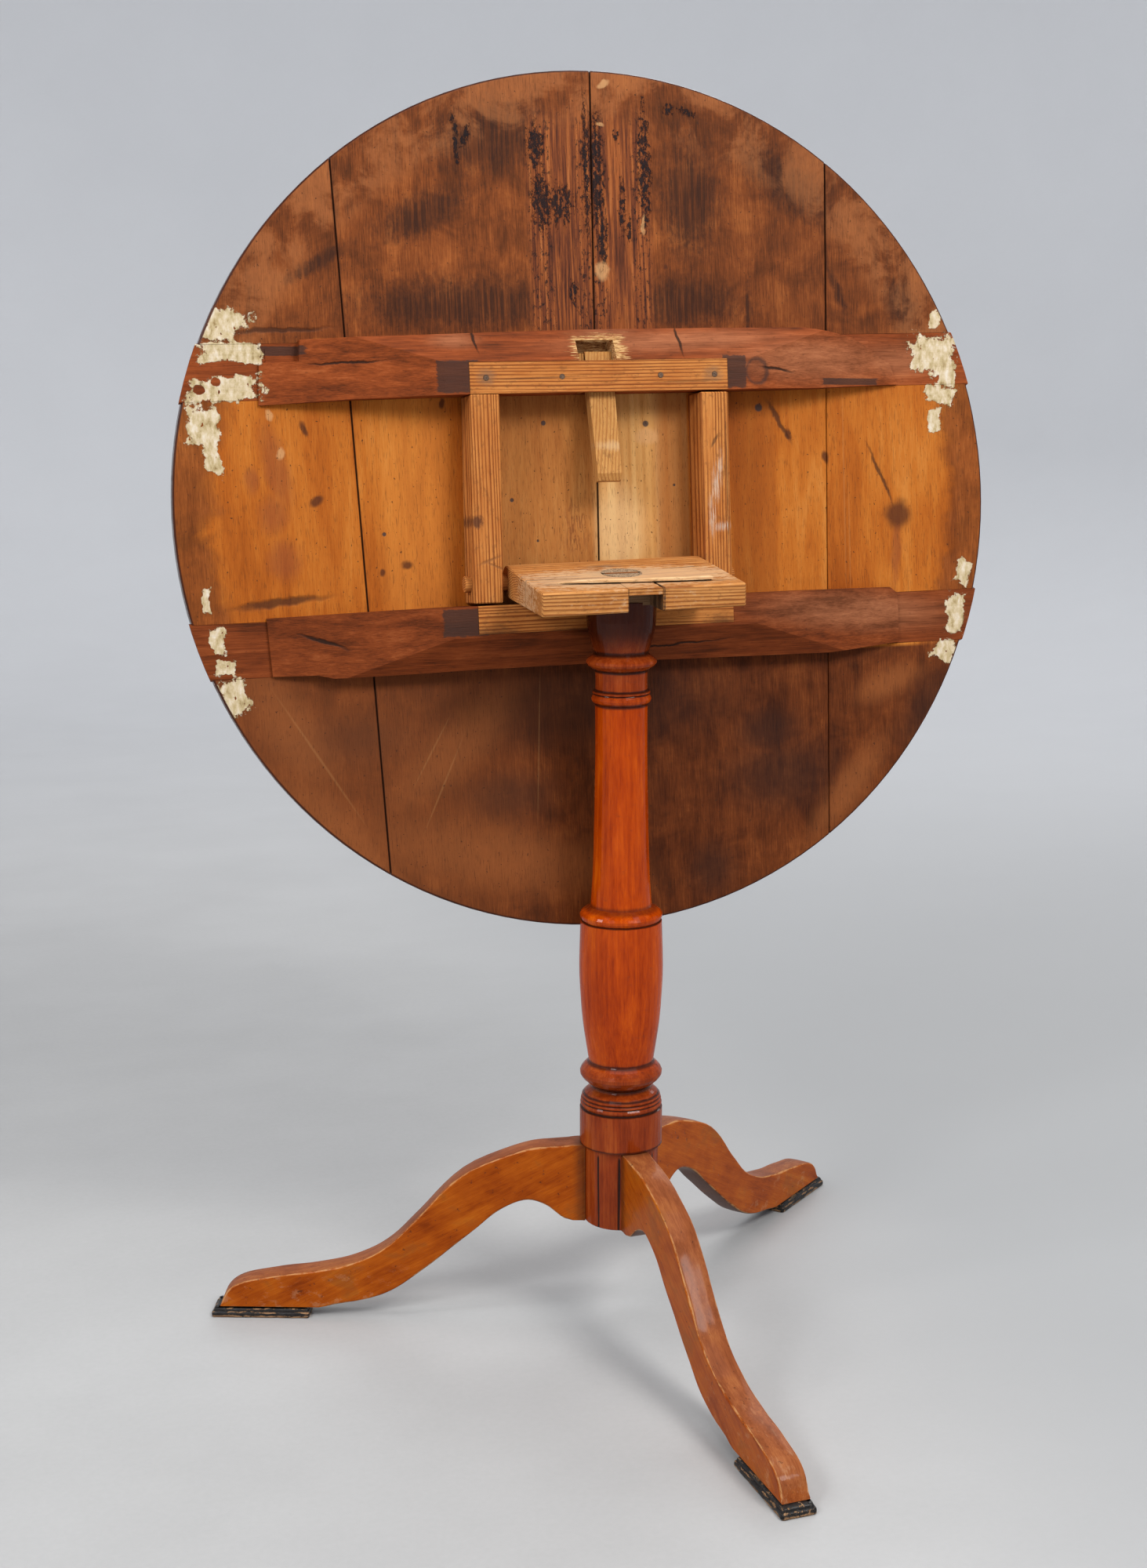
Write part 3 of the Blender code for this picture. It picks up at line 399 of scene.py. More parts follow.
def board_wood(name, seed):
    mat = Finish("board_wood_" + name)
    low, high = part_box(name)
    mat.reach = (low.x - AXIS_X, high.x - AXIS_X)
    _, flat, seeded, u, v, w = top_space(mat, seed)
    ragged = shaken(mat, flat, 0.01, 0.02)
    away = mat.vector("LENGTH", mat.vector("SUBTRACT", flat, (TOP_OFF_AXIS, 0.0, 0.0)))

    fibre = mat.noise(seeded, (0.0012, 0.02, 0.0012), 3.0, 0.6)
    figure = mat.noise(seeded, (0.013, 0.13, 0.013), 5.0, 0.6, 0.6)
    broad = mat.noise(seeded, (0.06, 0.2, 0.06), 3.0, 0.5, 0.3)
    mottle = mat.noise(seeded, (0.045, 0.045, 0.045), 6.0, 0.66, 0.4)
    grime = mat.noise(flat, (0.0035, 0.007, 0.0035), 4.0, 0.7)

    stained = mat.add((mottle, 0.46), (figure, 0.26), (fibre, 0.28))
    above = mat.ramp(stained, (
        (0.36, (0.06, 0.02, 0.008)), (0.45, (0.135, 0.04, 0.013)), (0.53, (0.225, 0.066, 0.02)),
        (0.64, (0.37, 0.125, 0.04)),
    ), STAIN_TINT)
    below = mat.ramp(stained, (
        (0.36, (0.04, 0.011, 0.004)), (0.45, (0.088, 0.023, 0.007)), (0.54, (0.15, 0.041, 0.012)),
        (0.66, (0.26, 0.082, 0.026)),
    ), STAIN_TINT)
    raw = mat.add((broad, 0.42), (figure, 0.36), (fibre, 0.22))
    middle = mat.ramp(raw, (
        (0.36, (0.33, 0.086, 0.012)), (0.46, (0.45, 0.132, 0.022)), (0.55, (0.54, 0.185, 0.038)),
        (0.66, (0.64, 0.27, 0.085)),
    ), RAW_TINT)

    # Bare strip inside the rails: pinkish tan left of the latch, cream right of it
    inside = mat.band(u, -0.092, 0.092, 0.002)
    tan = mat.ramp(raw, (
        (0.36, (0.3, 0.12, 0.04)), (0.5, (0.41, 0.19, 0.07)), (0.64, (0.52, 0.29, 0.13)),
    ), (0.98, 0.8, 0.5))
    cream_bands = mat.noise(flat, (0.011, 0.5, 0.011), 2.0, 0.5)
    cream = mat.ramp(cream_bands, (
        (0.35, (0.45, 0.205, 0.066)), (0.5, (0.58, 0.31, 0.12)), (0.62, (0.69, 0.43, 0.2)),
    ), (0.98, 0.92, 0.72))
    palest = mat.patch(ragged, (0.022, -0.022, 0.024, 0.036), 0.6)
    cream = mat.over(cream, palest, 0.65, (0.68, 0.44, 0.21))
    right_half = mat.rise(u, -0.004, 0.006)
    brown_edge = mat.rise(u, 0.055, 0.064)
    cream = mat.over(cream, brown_edge, 0.75, (0.33, 0.11, 0.025))
    bare = mat.mix(right_half, tan, cream)
    middle = mat.mix(inside, middle, bare)
    seat = mat.times(mat.band(u, -0.026, -0.009, 0.006), mat.band(v, -0.04, 0.002, 0.012))
    seat = mat.times(seat, mat.rise(mat.noise(flat, (0.0024, 0.013, 0.0024), 4.0, 0.7, 0.6), 0.49, 0.58))
    middle = mat.over(middle, seat, 0.72, (0.17, 0.048, 0.015))
    yellower = mat.band(u, -0.196, -0.134, 0.01)
    middle = mat.over(middle, yellower, 0.25, (0.7, 0.27, 0.05))
    # Painted shade: a darker brown band on the boards just right of the right side rail
    right_rail_painted_shade = mat.band(u, 0.133, 0.178, 0.003)
    middle = mat.over(middle, right_rail_painted_shade, 0.45, (0.29, 0.075, 0.01))
    red = mat.patches(ragged, RED_MARKS, 0.6)
    middle = mat.over(middle, red, 0.55, (0.23, 0.055, 0.018))
    edge_stain = mat.add(away, mat.swing(mottle, 0.07))
    edge_stain = mat.times(mat.rise(edge_stain, 0.338, 0.362), 0.82)
    middle = mat.mix(edge_stain, middle, above)

    streak = mat.noise(flat, (0.003, 0.09, 0.003), 5.0, 0.68, 0.3)
    smoke_edge = mat.swing(grime, 1.8)
    smoke = mat.patches(ragged, SMOKE, 0.6, smoke_edge)
    smoke = mat.times(smoke, mat.add(0.45, (mat.rise(streak, 0.6, 0.44), 0.42)))
    above = mat.mix(smoke, above, (0.03, 0.011, 0.006))
    above = mat.over(above, mat.rise(u, 0.05, 0.12), 0.16, (0.03, 0.008, 0.003))
    # Painted light: paler, mottled colour near the rim stands for the light on the underside's bevel
    rim_bevel_painted_light = mat.times(mat.rise(away, 0.325, 0.352), mat.rise(mottle, 0.42, 0.58), 0.45)
    above = mat.mix(rim_bevel_painted_light, above, (0.33, 0.118, 0.04))
    burnt = mat.ramp(streak, (
        (0.34, (0.022, 0.008, 0.007)), (0.45, (0.12, 0.03, 0.012)), (0.56, (0.29, 0.078, 0.018)),
        (0.68, (0.42, 0.14, 0.04)),
    ))
    burnt_zone = mat.times(mat.band(u, -0.052, 0.062, 0.006), mat.band(v, 0.15, 0.345, 0.02))
    above = mat.over(above, burnt_zone, 0.8, burnt)
    dotted = mat.most([
        mat.band(u, -0.054, -0.03, 0.003),
        mat.band(u, -0.008, 0.021, 0.003),
        mat.band(u, 0.045, 0.063, 0.003),
    ])
    dots = mat.rise(mat.noise(flat, (0.0035, 0.0065, 0.0035), 5.0, 0.72), 0.53, 0.6)
    dots = mat.times(dots, dotted, burnt_zone, 0.88)
    above = mat.mix(dots, above, (0.012, 0.007, 0.007))
    crust = mat.swing(mat.noise(flat, (0.004, 0.007, 0.004), 5.0, 0.75), 4.2)
    tar = mat.patches(ragged, TAR, 0.22, crust)
    tar = mat.times(tar, mat.add(0.12, (mat.rise(grime, 0.44, 0.5), 0.82)))
    above = mat.mix(tar, above, (0.007, 0.006, 0.008))

    soot = mat.times(mat.patches(ragged, SOOT_BELOW, 0.8), 0.6)
    below = mat.mix(soot, below, (0.018, 0.009, 0.007))
    lit = mat.times(mat.patches(ragged, LIT_BELOW, 0.75), 0.55)
    below = mat.mix(lit, below, (0.3, 0.094, 0.026))
    left_side = mat.times(mat.rise(u, 0.02, -0.2), 0.42)
    below = mat.mix(left_side, below, (0.215, 0.062, 0.017))

    stain_start = mat.add(v, (mat.rise(u, -0.25, -0.262), 0.024))
    colour = mat.mix(mat.rise(stain_start, 0.148, 0.152), middle, above)
    colour = mat.mix(mat.rise(v, -0.138, -0.142), colour, below)
    knots = mat.patches(ragged, KNOTS, 0.45)
    colour = mat.over(colour, knots, 0.85, (0.075, 0.02, 0.008))
    lines = mat.patches(ragged, DARK_LINES, 0.5)
    colour = mat.over(colour, lines, 0.78, (0.045, 0.016, 0.008))
    pale = mat.patches(ragged, PALE_MARKS, 0.35)
    colour = mat.over(colour, pale, 0.65, (0.58, 0.31, 0.13))
    pens = mat.patches(flat, PEN_LINES, 0.5)
    colour = mat.over(colour, pens, 0.14, (0.52, 0.26, 0.09))
    nails = mat.patches(flat, NAILS, 0.25)
    colour = mat.over(colour, nails, 0.9, (0.045, 0.035, 0.035))
    speck = mat.rise(mat.noise(flat, (0.0028, 0.0034, 0.0028), 1.0, 0.5), 0.715, 0.745)
    colour = mat.over(colour, speck, 0.75, (0.05, 0.018, 0.008))
    pores = mat.rise(mat.noise(seeded, (0.0008, 0.011, 0.0008), 2.0, 0.6), 0.56, 0.68)
    colour = mat.over(colour, pores, 0.42, (0.055, 0.018, 0.007))
    gaps = []
    for offset, slope, start in BOARD_JOINTS:
        line = mat.add(u, (v, -slope), -offset)
        line = mat.rise(mat.math("ABSOLUTE", line), 0.0013, 0.0006)
        if start > -1.0:
            line = mat.times(line, mat.rise(v, start, start + 0.004))
        gaps.append(line)
    colour = mat.over(colour, mat.most(gaps), 0.85, (0.02, 0.008, 0.004))
    colour = mat.over(colour, mat.rise(grime, 0.6, 0.72), 0.25, (0.06, 0.024, 0.01))
    colour, cover = old_paint(mat, flat, colour)

    rim = mat.rise(away, TOP_RADIUS - 0.0022, TOP_RADIUS - 0.0012)
    show = mat.most([mat.rise(w, -0.0008, -0.0022), rim])
    face = polished_face(mat, seeded)
    face = mat.over(face, rim, 0.75, (0.03, 0.012, 0.008))
    colour = mat.mix(show, colour, face)
    # Painted shade: the boards' side faces at the joints are painted near black and rough, for the shade in
    # the gaps
    sideways = mat.math("ABSOLUTE", mat.split(mat.facing())[0])
    inner = mat.times(mat.rise(sideways, 0.9, 0.97), mat.rise(away, TOP_RADIUS - 0.003, TOP_RADIUS - 0.006))
    colour = mat.mix(inner, colour, (0.03, 0.012, 0.007))

    roughness = mat.add(0.5, (grime, 0.22), (cover, 0.12), (show, -0.38))
    roughness = mat.add(roughness, (inner, 0.6))
    relief = mat.add((fibre, 0.5), (figure, 0.4), (cover, 1.3), (tar, 0.9), (lines, -0.8), (nails, -0.6))
    relief = mat.times(relief, mat.less(mat.times(show, 0.92)))
    mat.bump(relief, 0.0009, 0.65)
    return mat.finish(colour, roughness, specular=0.1)


BATTEN_DARKS = (
    (-0.131, 0.114, 0.018, 0.014), (0.1275, 0.1165, 0.011, 0.0145), (-0.132, -0.1, 0.02, 0.012),
    (-0.29, 0.14, 0.03, 0.004), (0.25, 0.108, 0.03, 0.003),
)
BATTEN_WORN = (
    (0.075, 0.145, 0.1, 0.009, 2), (0.01, 0.15, 0.03, 0.008), (-0.13, 0.146, 0.02, 0.006),
    (0.25, -0.105, 0.09, 0.016, -4), (0.3, 0.128, 0.04, 0.014), (0.215, 0.128, 0.08, 0.018),
)
BATTEN_CRACKS = (
    (-0.112, 0.146, 0.0012, 0.01, 8), (0.078, 0.146, 0.0012, 0.014, 6),
    (0.17, 0.119, 0.016, 0.0012, -8), (-0.255, -0.112, 0.02, 0.0015, -20),
    (-0.225, 0.128, 0.03, 0.001, 2), (0.06, -0.128, 0.05, 0.001, 3),
)
TORN_NOTCH = (0.001, 0.139, 0.023, 0.011)


def batten_wood(name, seed, tone):
    """Reddish-brown batten with its grain across the top; tone lightens it."""
    mat = Finish("batten_wood_" + name)
    flat, seeded = top_space(mat, seed)[1:3]
    ragged = shaken(mat, flat, 0.006, 0.014)
    fibre = mat.noise(seeded, (0.022, 0.0011, 0.0011), 3.0, 0.62)
    figure = mat.noise(seeded, (0.12, 0.009, 0.009), 5.0, 0.6, 0.9)
    mottle = mat.noise(seeded, (0.06, 0.024, 0.024), 5.0, 0.62)
    grime = mat.noise(flat, (0.006, 0.0035, 0.0035), 4.0, 0.7)
    blend = mat.add((figure, 0.42), (mottle, 0.32), (fibre, 0.26))
    colour = mat.ramp(blend, (
        (0.36, (0.075, 0.02, 0.006)), (0.46, (0.175, 0.042, 0.011)), (0.55, (0.265, 0.066, 0.018)),
        (0.66, (0.38, 0.118, 0.042)),
    ), (0.94 * tone, 0.8 * tone, 0.6 * tone))
    worn = mat.times(mat.patches(ragged, BATTEN_WORN, 0.7), 0.42)
    pinkish = mat.ramp(blend, ((0.4, (0.24, 0.08, 0.032)), (0.6, (0.43, 0.19, 0.095))))
    colour = mat.mix(worn, colour, pinkish)
    dark_edge = mat.swing(grime, 0.45)
    darks = mat.patches(flat, BATTEN_DARKS, 0.06, dark_edge, True)
    colour = mat.over(colour, darks, 0.84, (0.044, 0.022, 0.016))
    if name == "upper":
        ring = mat.patch(ragged, (0.15, 0.117, 0.012, 0.013), 0.12)
        ring_hole = mat.patch(ragged, (0.149, 0.117, 0.009, 0.01), 0.2)
        ring = mat.times(ring, mat.less(mat.times(ring_hole, 0.75)), 0.75)
        colour = mat.mix(ring, colour, (0.05, 0.024, 0.018))
        torn_edge = mat.swing(fibre, 1.6)
        torn = mat.patch(ragged, TORN_NOTCH, 0.15, torn_edge, True)
        splinters = mat.ramp(mat.noise(seeded, (0.006, 0.0012, 0.002), 4.0, 0.7), (
            (0.36, (0.12, 0.045, 0.014)), (0.48, (0.42, 0.21, 0.07)), (0.62, (0.7, 0.45, 0.2)),
        ))
        colour = mat.over(colour, torn, 0.92, splinters)
    cracks = mat.patches(ragged, BATTEN_CRACKS, 0.5)
    colour = mat.over(colour, cracks, 0.9, (0.016, 0.008, 0.005))
    colour = mat.over(colour, mat.rise(grime, 0.58, 0.7), 0.4, (0.04, 0.014, 0.007))
    colour, cover = old_paint(mat, flat, colour)
    roughness = mat.add(0.46, (grime, 0.24), (cover, 0.12))
    relief = mat.add((fibre, 0.5), (figure, 0.6), (cover, 1.3), (cracks, -1.2))
    mat.bump(relief, 0.0009, 0.7)
    return mat.finish(colour, roughness, specular=0.1)


def rings(mat, local, pith, spacing, wobble, seed):
    """Growth lines of a trunk that runs along the local X past the pith (y, z)."""
    sway = mat.noise(local, (0.25, 0.04, 0.04), 3.0, 0.5)
    sway = mat.swing(sway, wobble)
    heart = mat.vector("SUBTRACT", local, (0.0, pith[0], pith[1]))
    heart = mat.vector("MULTIPLY", heart, (0.0, 1.0, 1.0))
    reach = mat.add(mat.vector("LENGTH", heart), sway, seed)
    drift = mat.noise(local, (0.9, 0.011, 0.011), 1.0, 0.5)
    reach = mat.add(reach, (drift, spacing * 1.6))
    return mat.math("FRACT", mat.times(reach, 1.0 / spacing))


# Marks on pine: squares when crisp, broken like a dry brush when very soft
SQUARE_BELOW = 0.15
DRY_BRUSH_ABOVE = 0.85


def pine(name, local_of, pith, spacing, tones, marks=(), seed=0.0, wobble=0.004, lines=0.85):
    """Raw pine: early wood light, late wood dark red, ray flecks and handling dirt."""
    mat = Finish("pine_" + name)
    local, flat = local_of(mat)
    light, mean, dark = tones
    ring = rings(mat, local, pith, spacing, wobble, seed)
    late = mat.times(mat.rise(ring, 0.38, 0.85), mat.rise(ring, 1.0, 0.93))
    breadth = mat.noise(local, (0.15, 0.012, 0.012), 3.0, 0.6)
    late = mat.times(late, mat.rise(breadth, 0.2, 0.52), lines)
    fibre = mat.noise(local, (0.02, 0.0009, 0.0009), 3.0, 0.6)
    cloud = mat.noise(local, (0.05, 0.02, 0.02), 4.0, 0.6)
    blend = mat.add((cloud, 0.55), (fibre, 0.45))
    colour = mat.ramp(blend, ((0.36, mean), (0.62, light)))
    colour = mat.mix(late, colour, dark)
    grime = mat.noise(local, (0.008, 0.004, 0.004), 5.0, 0.7)
    colour = mat.over(colour, mat.rise(grime, 0.54, 0.66), 0.42, (0.13, 0.05, 0.018))
    hairs = mat.rise(mat.noise(local, (0.03, 0.0012, 0.0012), 2.0, 0.6), 0.66, 0.72)
    colour = mat.over(colour, hairs, 0.55, (0.09, 0.03, 0.01))
    relief = mat.add((late, 0.8), (fibre, 0.6))
    for spots, tint, share, soft, depth in marks:
        square = soft < SQUARE_BELOW
        edge = None if square else mat.swing(grime, 2.4)
        mask = mat.patches(flat, spots, soft, edge, square)
        if soft > DRY_BRUSH_ABOVE:
            mask = mat.times(mask, mat.rise(fibre, 0.44, 0.54))
        colour = mat.mix(mat.times(mask, share), colour, tint)
        relief = mat.add(relief, (mask, depth))
    mat.bump(relief, 0.0007, 0.65)
    roughness = mat.add(0.56, (grime, 0.18))
    return mat.finish(colour, roughness, specular=0.09)


def along_u(mat):
    return top_space(mat)[:2]


def along_v(mat):
    point, flat = top_space(mat)[:2]
    return mat.place(point, turn=(0.0, 0.0, math.pi / 2)), flat


def along_x(mat):
    """Row frame, laid flat in plan for its marks, from the pillar's axis."""
    point = mat.rest((-AXIS_X, -AXIS_Y, -block_high.z))
    return point, mat.vector("MULTIPLY", point, (1.0, 1.0, 0.0))


block_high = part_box("pivot_block")[1]
PINE = ((0.57, 0.225, 0.056), (0.42, 0.13, 0.026), (0.165, 0.034, 0.007))
PALE_PINE = ((0.56, 0.285, 0.09), (0.44, 0.195, 0.05), (0.24, 0.07, 0.014))
BLOCK_PINE = ((0.58, 0.26, 0.078), (0.44, 0.16, 0.036), (0.19, 0.045, 0.009))
FLAKE_PINE = ((0.8, 0.56, 0.32), (0.7, 0.43, 0.2), (0.48, 0.23, 0.085))
INK = (0.035, 0.02, 0.014)
WHITE_SMEAR = (0.62, 0.54, 0.45)

boards = ("board_left_outer", "board_left_inner", "board_right_inner", "board_right_outer")
for number, board in enumerate(boards):
    wear(board, board_wood(board, 0.37 * number))
wear("upper_batten", batten_wood("upper", 0.21, 1.05))
wear("lower_batten", batten_wood("lower", 0.83, 0.8))

# Marks on the pine: (ovals, tint, share, softness, depth)
# Darker patches on the lower rail by the side rails, and thin dark lines along it
lower_rail_darks = (
    (
        (-0.105, -0.116, 0.02, 0.01), (0.108, -0.114, 0.014, 0.01), (-0.02, -0.112, 0.05, 0.0035, 4),
        (0.05, -0.122, 0.04, 0.003, -3), (-0.07, -0.124, 0.03, 0.003, 5),
    ),
    (0.11, 0.045, 0.018), 0.7, 0.6, -0.3,
)
rail_cracks = (((-0.06, 0.112, 0.04, 0.0008, 2), (0.085, 0.108, 0.03, 0.0008, 1)), INK, 0.4, 0.5, -0.6)
rail_spots = (
    ((-0.1055, 0.1135, 0.007, 0.007), (0.106, 0.115, 0.008, 0.006)),
    (0.2, 0.11, 0.06), 0.55, 0.6, 0.0,
)
left_knot = (((-0.119, -0.012, 0.0045, 0.0055),), (0.085, 0.03, 0.016), 0.85, 0.4, -0.6)
left_gouge = (
    ((-0.108, -0.046, 0.01, 0.0012, 20), (-0.102, -0.052, 0.008, 0.001, -25)),
    (0.24, 0.09, 0.03), 0.7, 0.6, -0.8,
)
smears = (
    ((0.107, 0.02, 0.0035, 0.018, -8), (0.102, -0.01, 0.0025, 0.015), (0.112, -0.022, 0.009, 0.003, 6)),
    WHITE_SMEAR, 0.55, 0.9, 0.2,
)
right_cracks = (((0.106, 0.055, 0.0012, 0.006, -30), (0.117, 0.02, 0.0006, 0.06)), INK, 0.6, 0.5, -0.8)
bar_spots = (((0.008, 0.052, 0.012, 0.0035),), (0.7, 0.52, 0.3), 0.32, 0.8, 0.0)
block_stains = (
    ((-0.001, 0.002, 0.026, 0.012, 4), (-0.006, 0.03, 0.014, 0.005)),
    (0.15, 0.085, 0.05), 0.65, 0.7, -0.6,
)
block_lights = (
    ((0.0, -0.018, 0.108, 0.037), (-0.055, -0.03, 0.026, 0.012)),
    (0.64, 0.45, 0.27), 0.5, 0.25, 0.0,
)
# The first oval is painted shadow, a dark strip on the block's top under the front edge of the lifted
# flake; the rest are splits and cracks
block_splits_and_flake_shadow = (
    (
        (0.001, -0.0405, 0.068, 0.004, -6.3), (-0.06, -0.012, 0.03, 0.0012, -2),
        (0.06, 0.01, 0.02, 0.0012, 4), (0.0172, -0.0585, 0.0008, 0.01, 8),
        (-0.0128, -0.06, 0.0004, 0.008),
    ),
    INK, 0.8, 0.5, -1.0,
)
keeper_low, keeper_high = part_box("latch_keeper")
NOTCH_MARGIN = 0.0008
# Painted shade: the block's faces inside the notch, within the keeper's outline, are painted dark
notch = (
    ((
        (keeper_low.x + keeper_high.x) / 2 - AXIS_X,
        (keeper_low.y + keeper_high.y) / 2 - AXIS_Y,
        (keeper_high.x - keeper_low.x) / 2 + NOTCH_MARGIN,
        (keeper_high.y - keeper_low.y) / 2 + NOTCH_MARGIN,
    ),),
    (0.05, 0.022, 0.01), 0.85, 0.06, 0.0,
)
BLOCK_PITH = (0.01, -0.095)

# Pine pieces: name, run of the grain, pith, ring spacing, tones, marks, seed, wobble, line strength
PINE_PIECES = (
    ("upper_rail", along_u, (0.23, -0.05), 0.0024, PINE, (rail_cracks, rail_spots)),
    ("lower_rail", along_u, (-0.26, -0.06), 0.0028, PINE, (lower_rail_darks,), 0.4),
    ("side_rail_left", along_v, (0.33, -0.06), 0.0027, PINE, (left_knot, left_gouge), 0.1),
    ("side_rail_right", along_v, (-0.35, -0.06), 0.0027, PINE, (smears, right_cracks), 0.7),
    ("latch_bar", along_v, (0.12, -0.05), 0.0027, PALE_PINE, (bar_spots,), 0.3, 0.002, 0.55),
    ("latch_packing_slip", along_v, (0.1, 0.03), 0.0025, PALE_PINE),
    ("pivot_dowel_left", along_u, (0.004, 0.003), 0.0022, PINE),
    ("pivot_dowel_right", along_u, (0.004, 0.003), 0.0022, PINE),
    (
        "pivot_block", along_x, BLOCK_PITH, 0.0021, BLOCK_PINE,
        (block_stains, block_lights, block_splits_and_flake_shadow, notch), 0.0, 0.005, 0.8,
    ),
    ("tenon_wedge", along_x, (0.03, -0.05), 0.003, PINE, (), 0.6),
)
for piece in PINE_PIECES:
    wear(piece[0], pine(*piece))


def peg_wood():
    mat = Finish("peg_end_grain")
    point = top_space(mat)[0]
    grain = mat.noise(point, (0.0008, 0.0008, 0.004), 4.0, 0.7)
    colour = mat.ramp(grain, ((0.35, (0.05, 0.032, 0.024)), (0.65, (0.2, 0.12, 0.075))))
    mat.bump(grain, 0.0006, 0.6)
    return mat.finish(colour, mat.add(0.55, (grain, 0.2)), specular=0.1)


peg_finish = peg_wood()
for number in range(1, 5):
    wear("rail_peg_%d" % number, peg_finish)


# Dark grooves of the pillar: (height, half width, strength)
GROOVES = (
    (0.6325, 0.0022, 0.85), (0.6165, 0.0016, 0.9), (0.5988, 0.0012, 0.9), (0.5954, 0.0007, 0.9),
    (0.5862, 0.002, 0.85), (0.4008, 0.003, 0.55), (0.388, 0.001, 0.9), (0.2545, 0.002, 0.8),
    (0.2316, 0.003, 0.8), (0.2235, 0.001, 0.85), (0.2197, 0.0007, 0.8), (0.2165, 0.0007, 0.85),
    (0.2107, 0.0012, 0.95), (0.176, 0.0012, 0.75),
)


def pillar_wood():
    mat = Finish("pillar_polish")
    point = mat.rest((-AXIS_X, -AXIS_Y, 0.0))
    z = mat.split(point)[2]
    grain = mat.noise(point, (0.004, 0.004, 0.14), 5.0, 0.6, 0.5)
    fibre = mat.noise(point, (0.0007, 0.0007, 0.014), 3.0, 0.6)
    cloud = mat.noise(point, (0.018, 0.018, 0.07), 4.0, 0.6)
    blend = mat.add((grain, 0.34), (cloud, 0.42), (fibre, 0.24))
    shaft = mat.ramp(blend, (
        (0.36, (0.2, 0.018, 0.001)), (0.46, (0.33, 0.037, 0.0015)), (0.55, (0.43, 0.058, 0.0025)),
        (0.66, (0.56, 0.105, 0.006)),
    ), (1.08, 1.0, 0.35))
    worn = mat.ramp(blend, (
        (0.36, (0.12, 0.015, 0.003)), (0.5, (0.24, 0.034, 0.005)), (0.64, (0.36, 0.075, 0.013)),
    ))
    low = mat.rise(z, 0.262, 0.246)
    high = mat.rise(z, 0.584, 0.6)
    colour = mat.over(shaft, mat.most([low, high]), 0.9, worn)
    # Painted shade: the top of the pillar, under the block, is painted near black
    painted_shade_under_block = mat.times(mat.rise(z, 0.622, 0.655), 0.9)
    colour = mat.mix(painted_shade_under_block, colour, (0.036, 0.007, 0.003))
    wander = mat.swing(cloud, 0.0016)
    level = mat.add(z, wander)
    marks = []
    for height, half, strength in GROOVES:
        mark = mat.rise(mat.math("ABSOLUTE", mat.math("SUBTRACT", level, height)), half * 1.5, half * 0.35)
        marks.append(mat.times(mark, strength))
    groove = mat.most(marks)
    colour = mat.mix(groove, colour, (0.018, 0.006, 0.004))
    smudge = mat.rise(mat.noise(point, (0.01, 0.01, 0.006), 5.0, 0.7), 0.58, 0.72)
    colour = mat.over(colour, smudge, 0.3, (0.09, 0.018, 0.006))
    # Painted shade: above 0.69 m the tenon is painted near black, for the shade inside the block; its top
    # then gets rough end grain
    tenon = mat.rise(z, 0.69, 0.6905)
    colour = mat.mix(tenon, colour, (0.03, 0.014, 0.008))
    tenon = mat.times(tenon, mat.rise(mat.split(mat.facing())[2], 0.4, 0.7))
    end_grain = mat.noise(point, (0.0015, 0.003, 0.0015), 5.0, 0.75)
    rough_end = mat.ramp(end_grain, ((0.38, (0.1, 0.07, 0.05)), (0.62, (0.46, 0.32, 0.2))))
    colour = mat.mix(tenon, colour, rough_end)
    cracks = []
    for turn in (-1.944, -2.536, -0.9):
        side = mat.vector("DOT_PRODUCT", point, (-math.sin(turn), math.cos(turn), 0.0))
        front = mat.vector("DOT_PRODUCT", point, (math.cos(turn), math.sin(turn), 0.0))
        bend = mat.swing(grain, 0.004)
        line = mat.rise(mat.math("ABSOLUTE", mat.add(side, bend)), 0.0015, 0.0007)
        cracks.append(mat.times(line, mat.rise(front, 0.01, 0.012), mat.rise(z, 0.172, 0.168)))
    cracks = mat.most(cracks)
    colour = mat.over(colour, cracks, 0.92, (0.012, 0.006, 0.004))
    relief = mat.add((fibre, 0.1), (cloud, 0.25), (cracks, -2.0))
    relief = mat.add(relief, (end_grain, mat.times(tenon, 4.0)), (groove, -0.4))
    mat.bump(relief, 0.0005, 0.5)
    roughness = mat.add(0.2, (smudge, 0.16), (tenon, 0.5), (cloud, 0.12))
    return mat.finish(colour, roughness, coat=0.28, coat_rough=0.08, specular=0.02)


wear("pillar", pillar_wood())


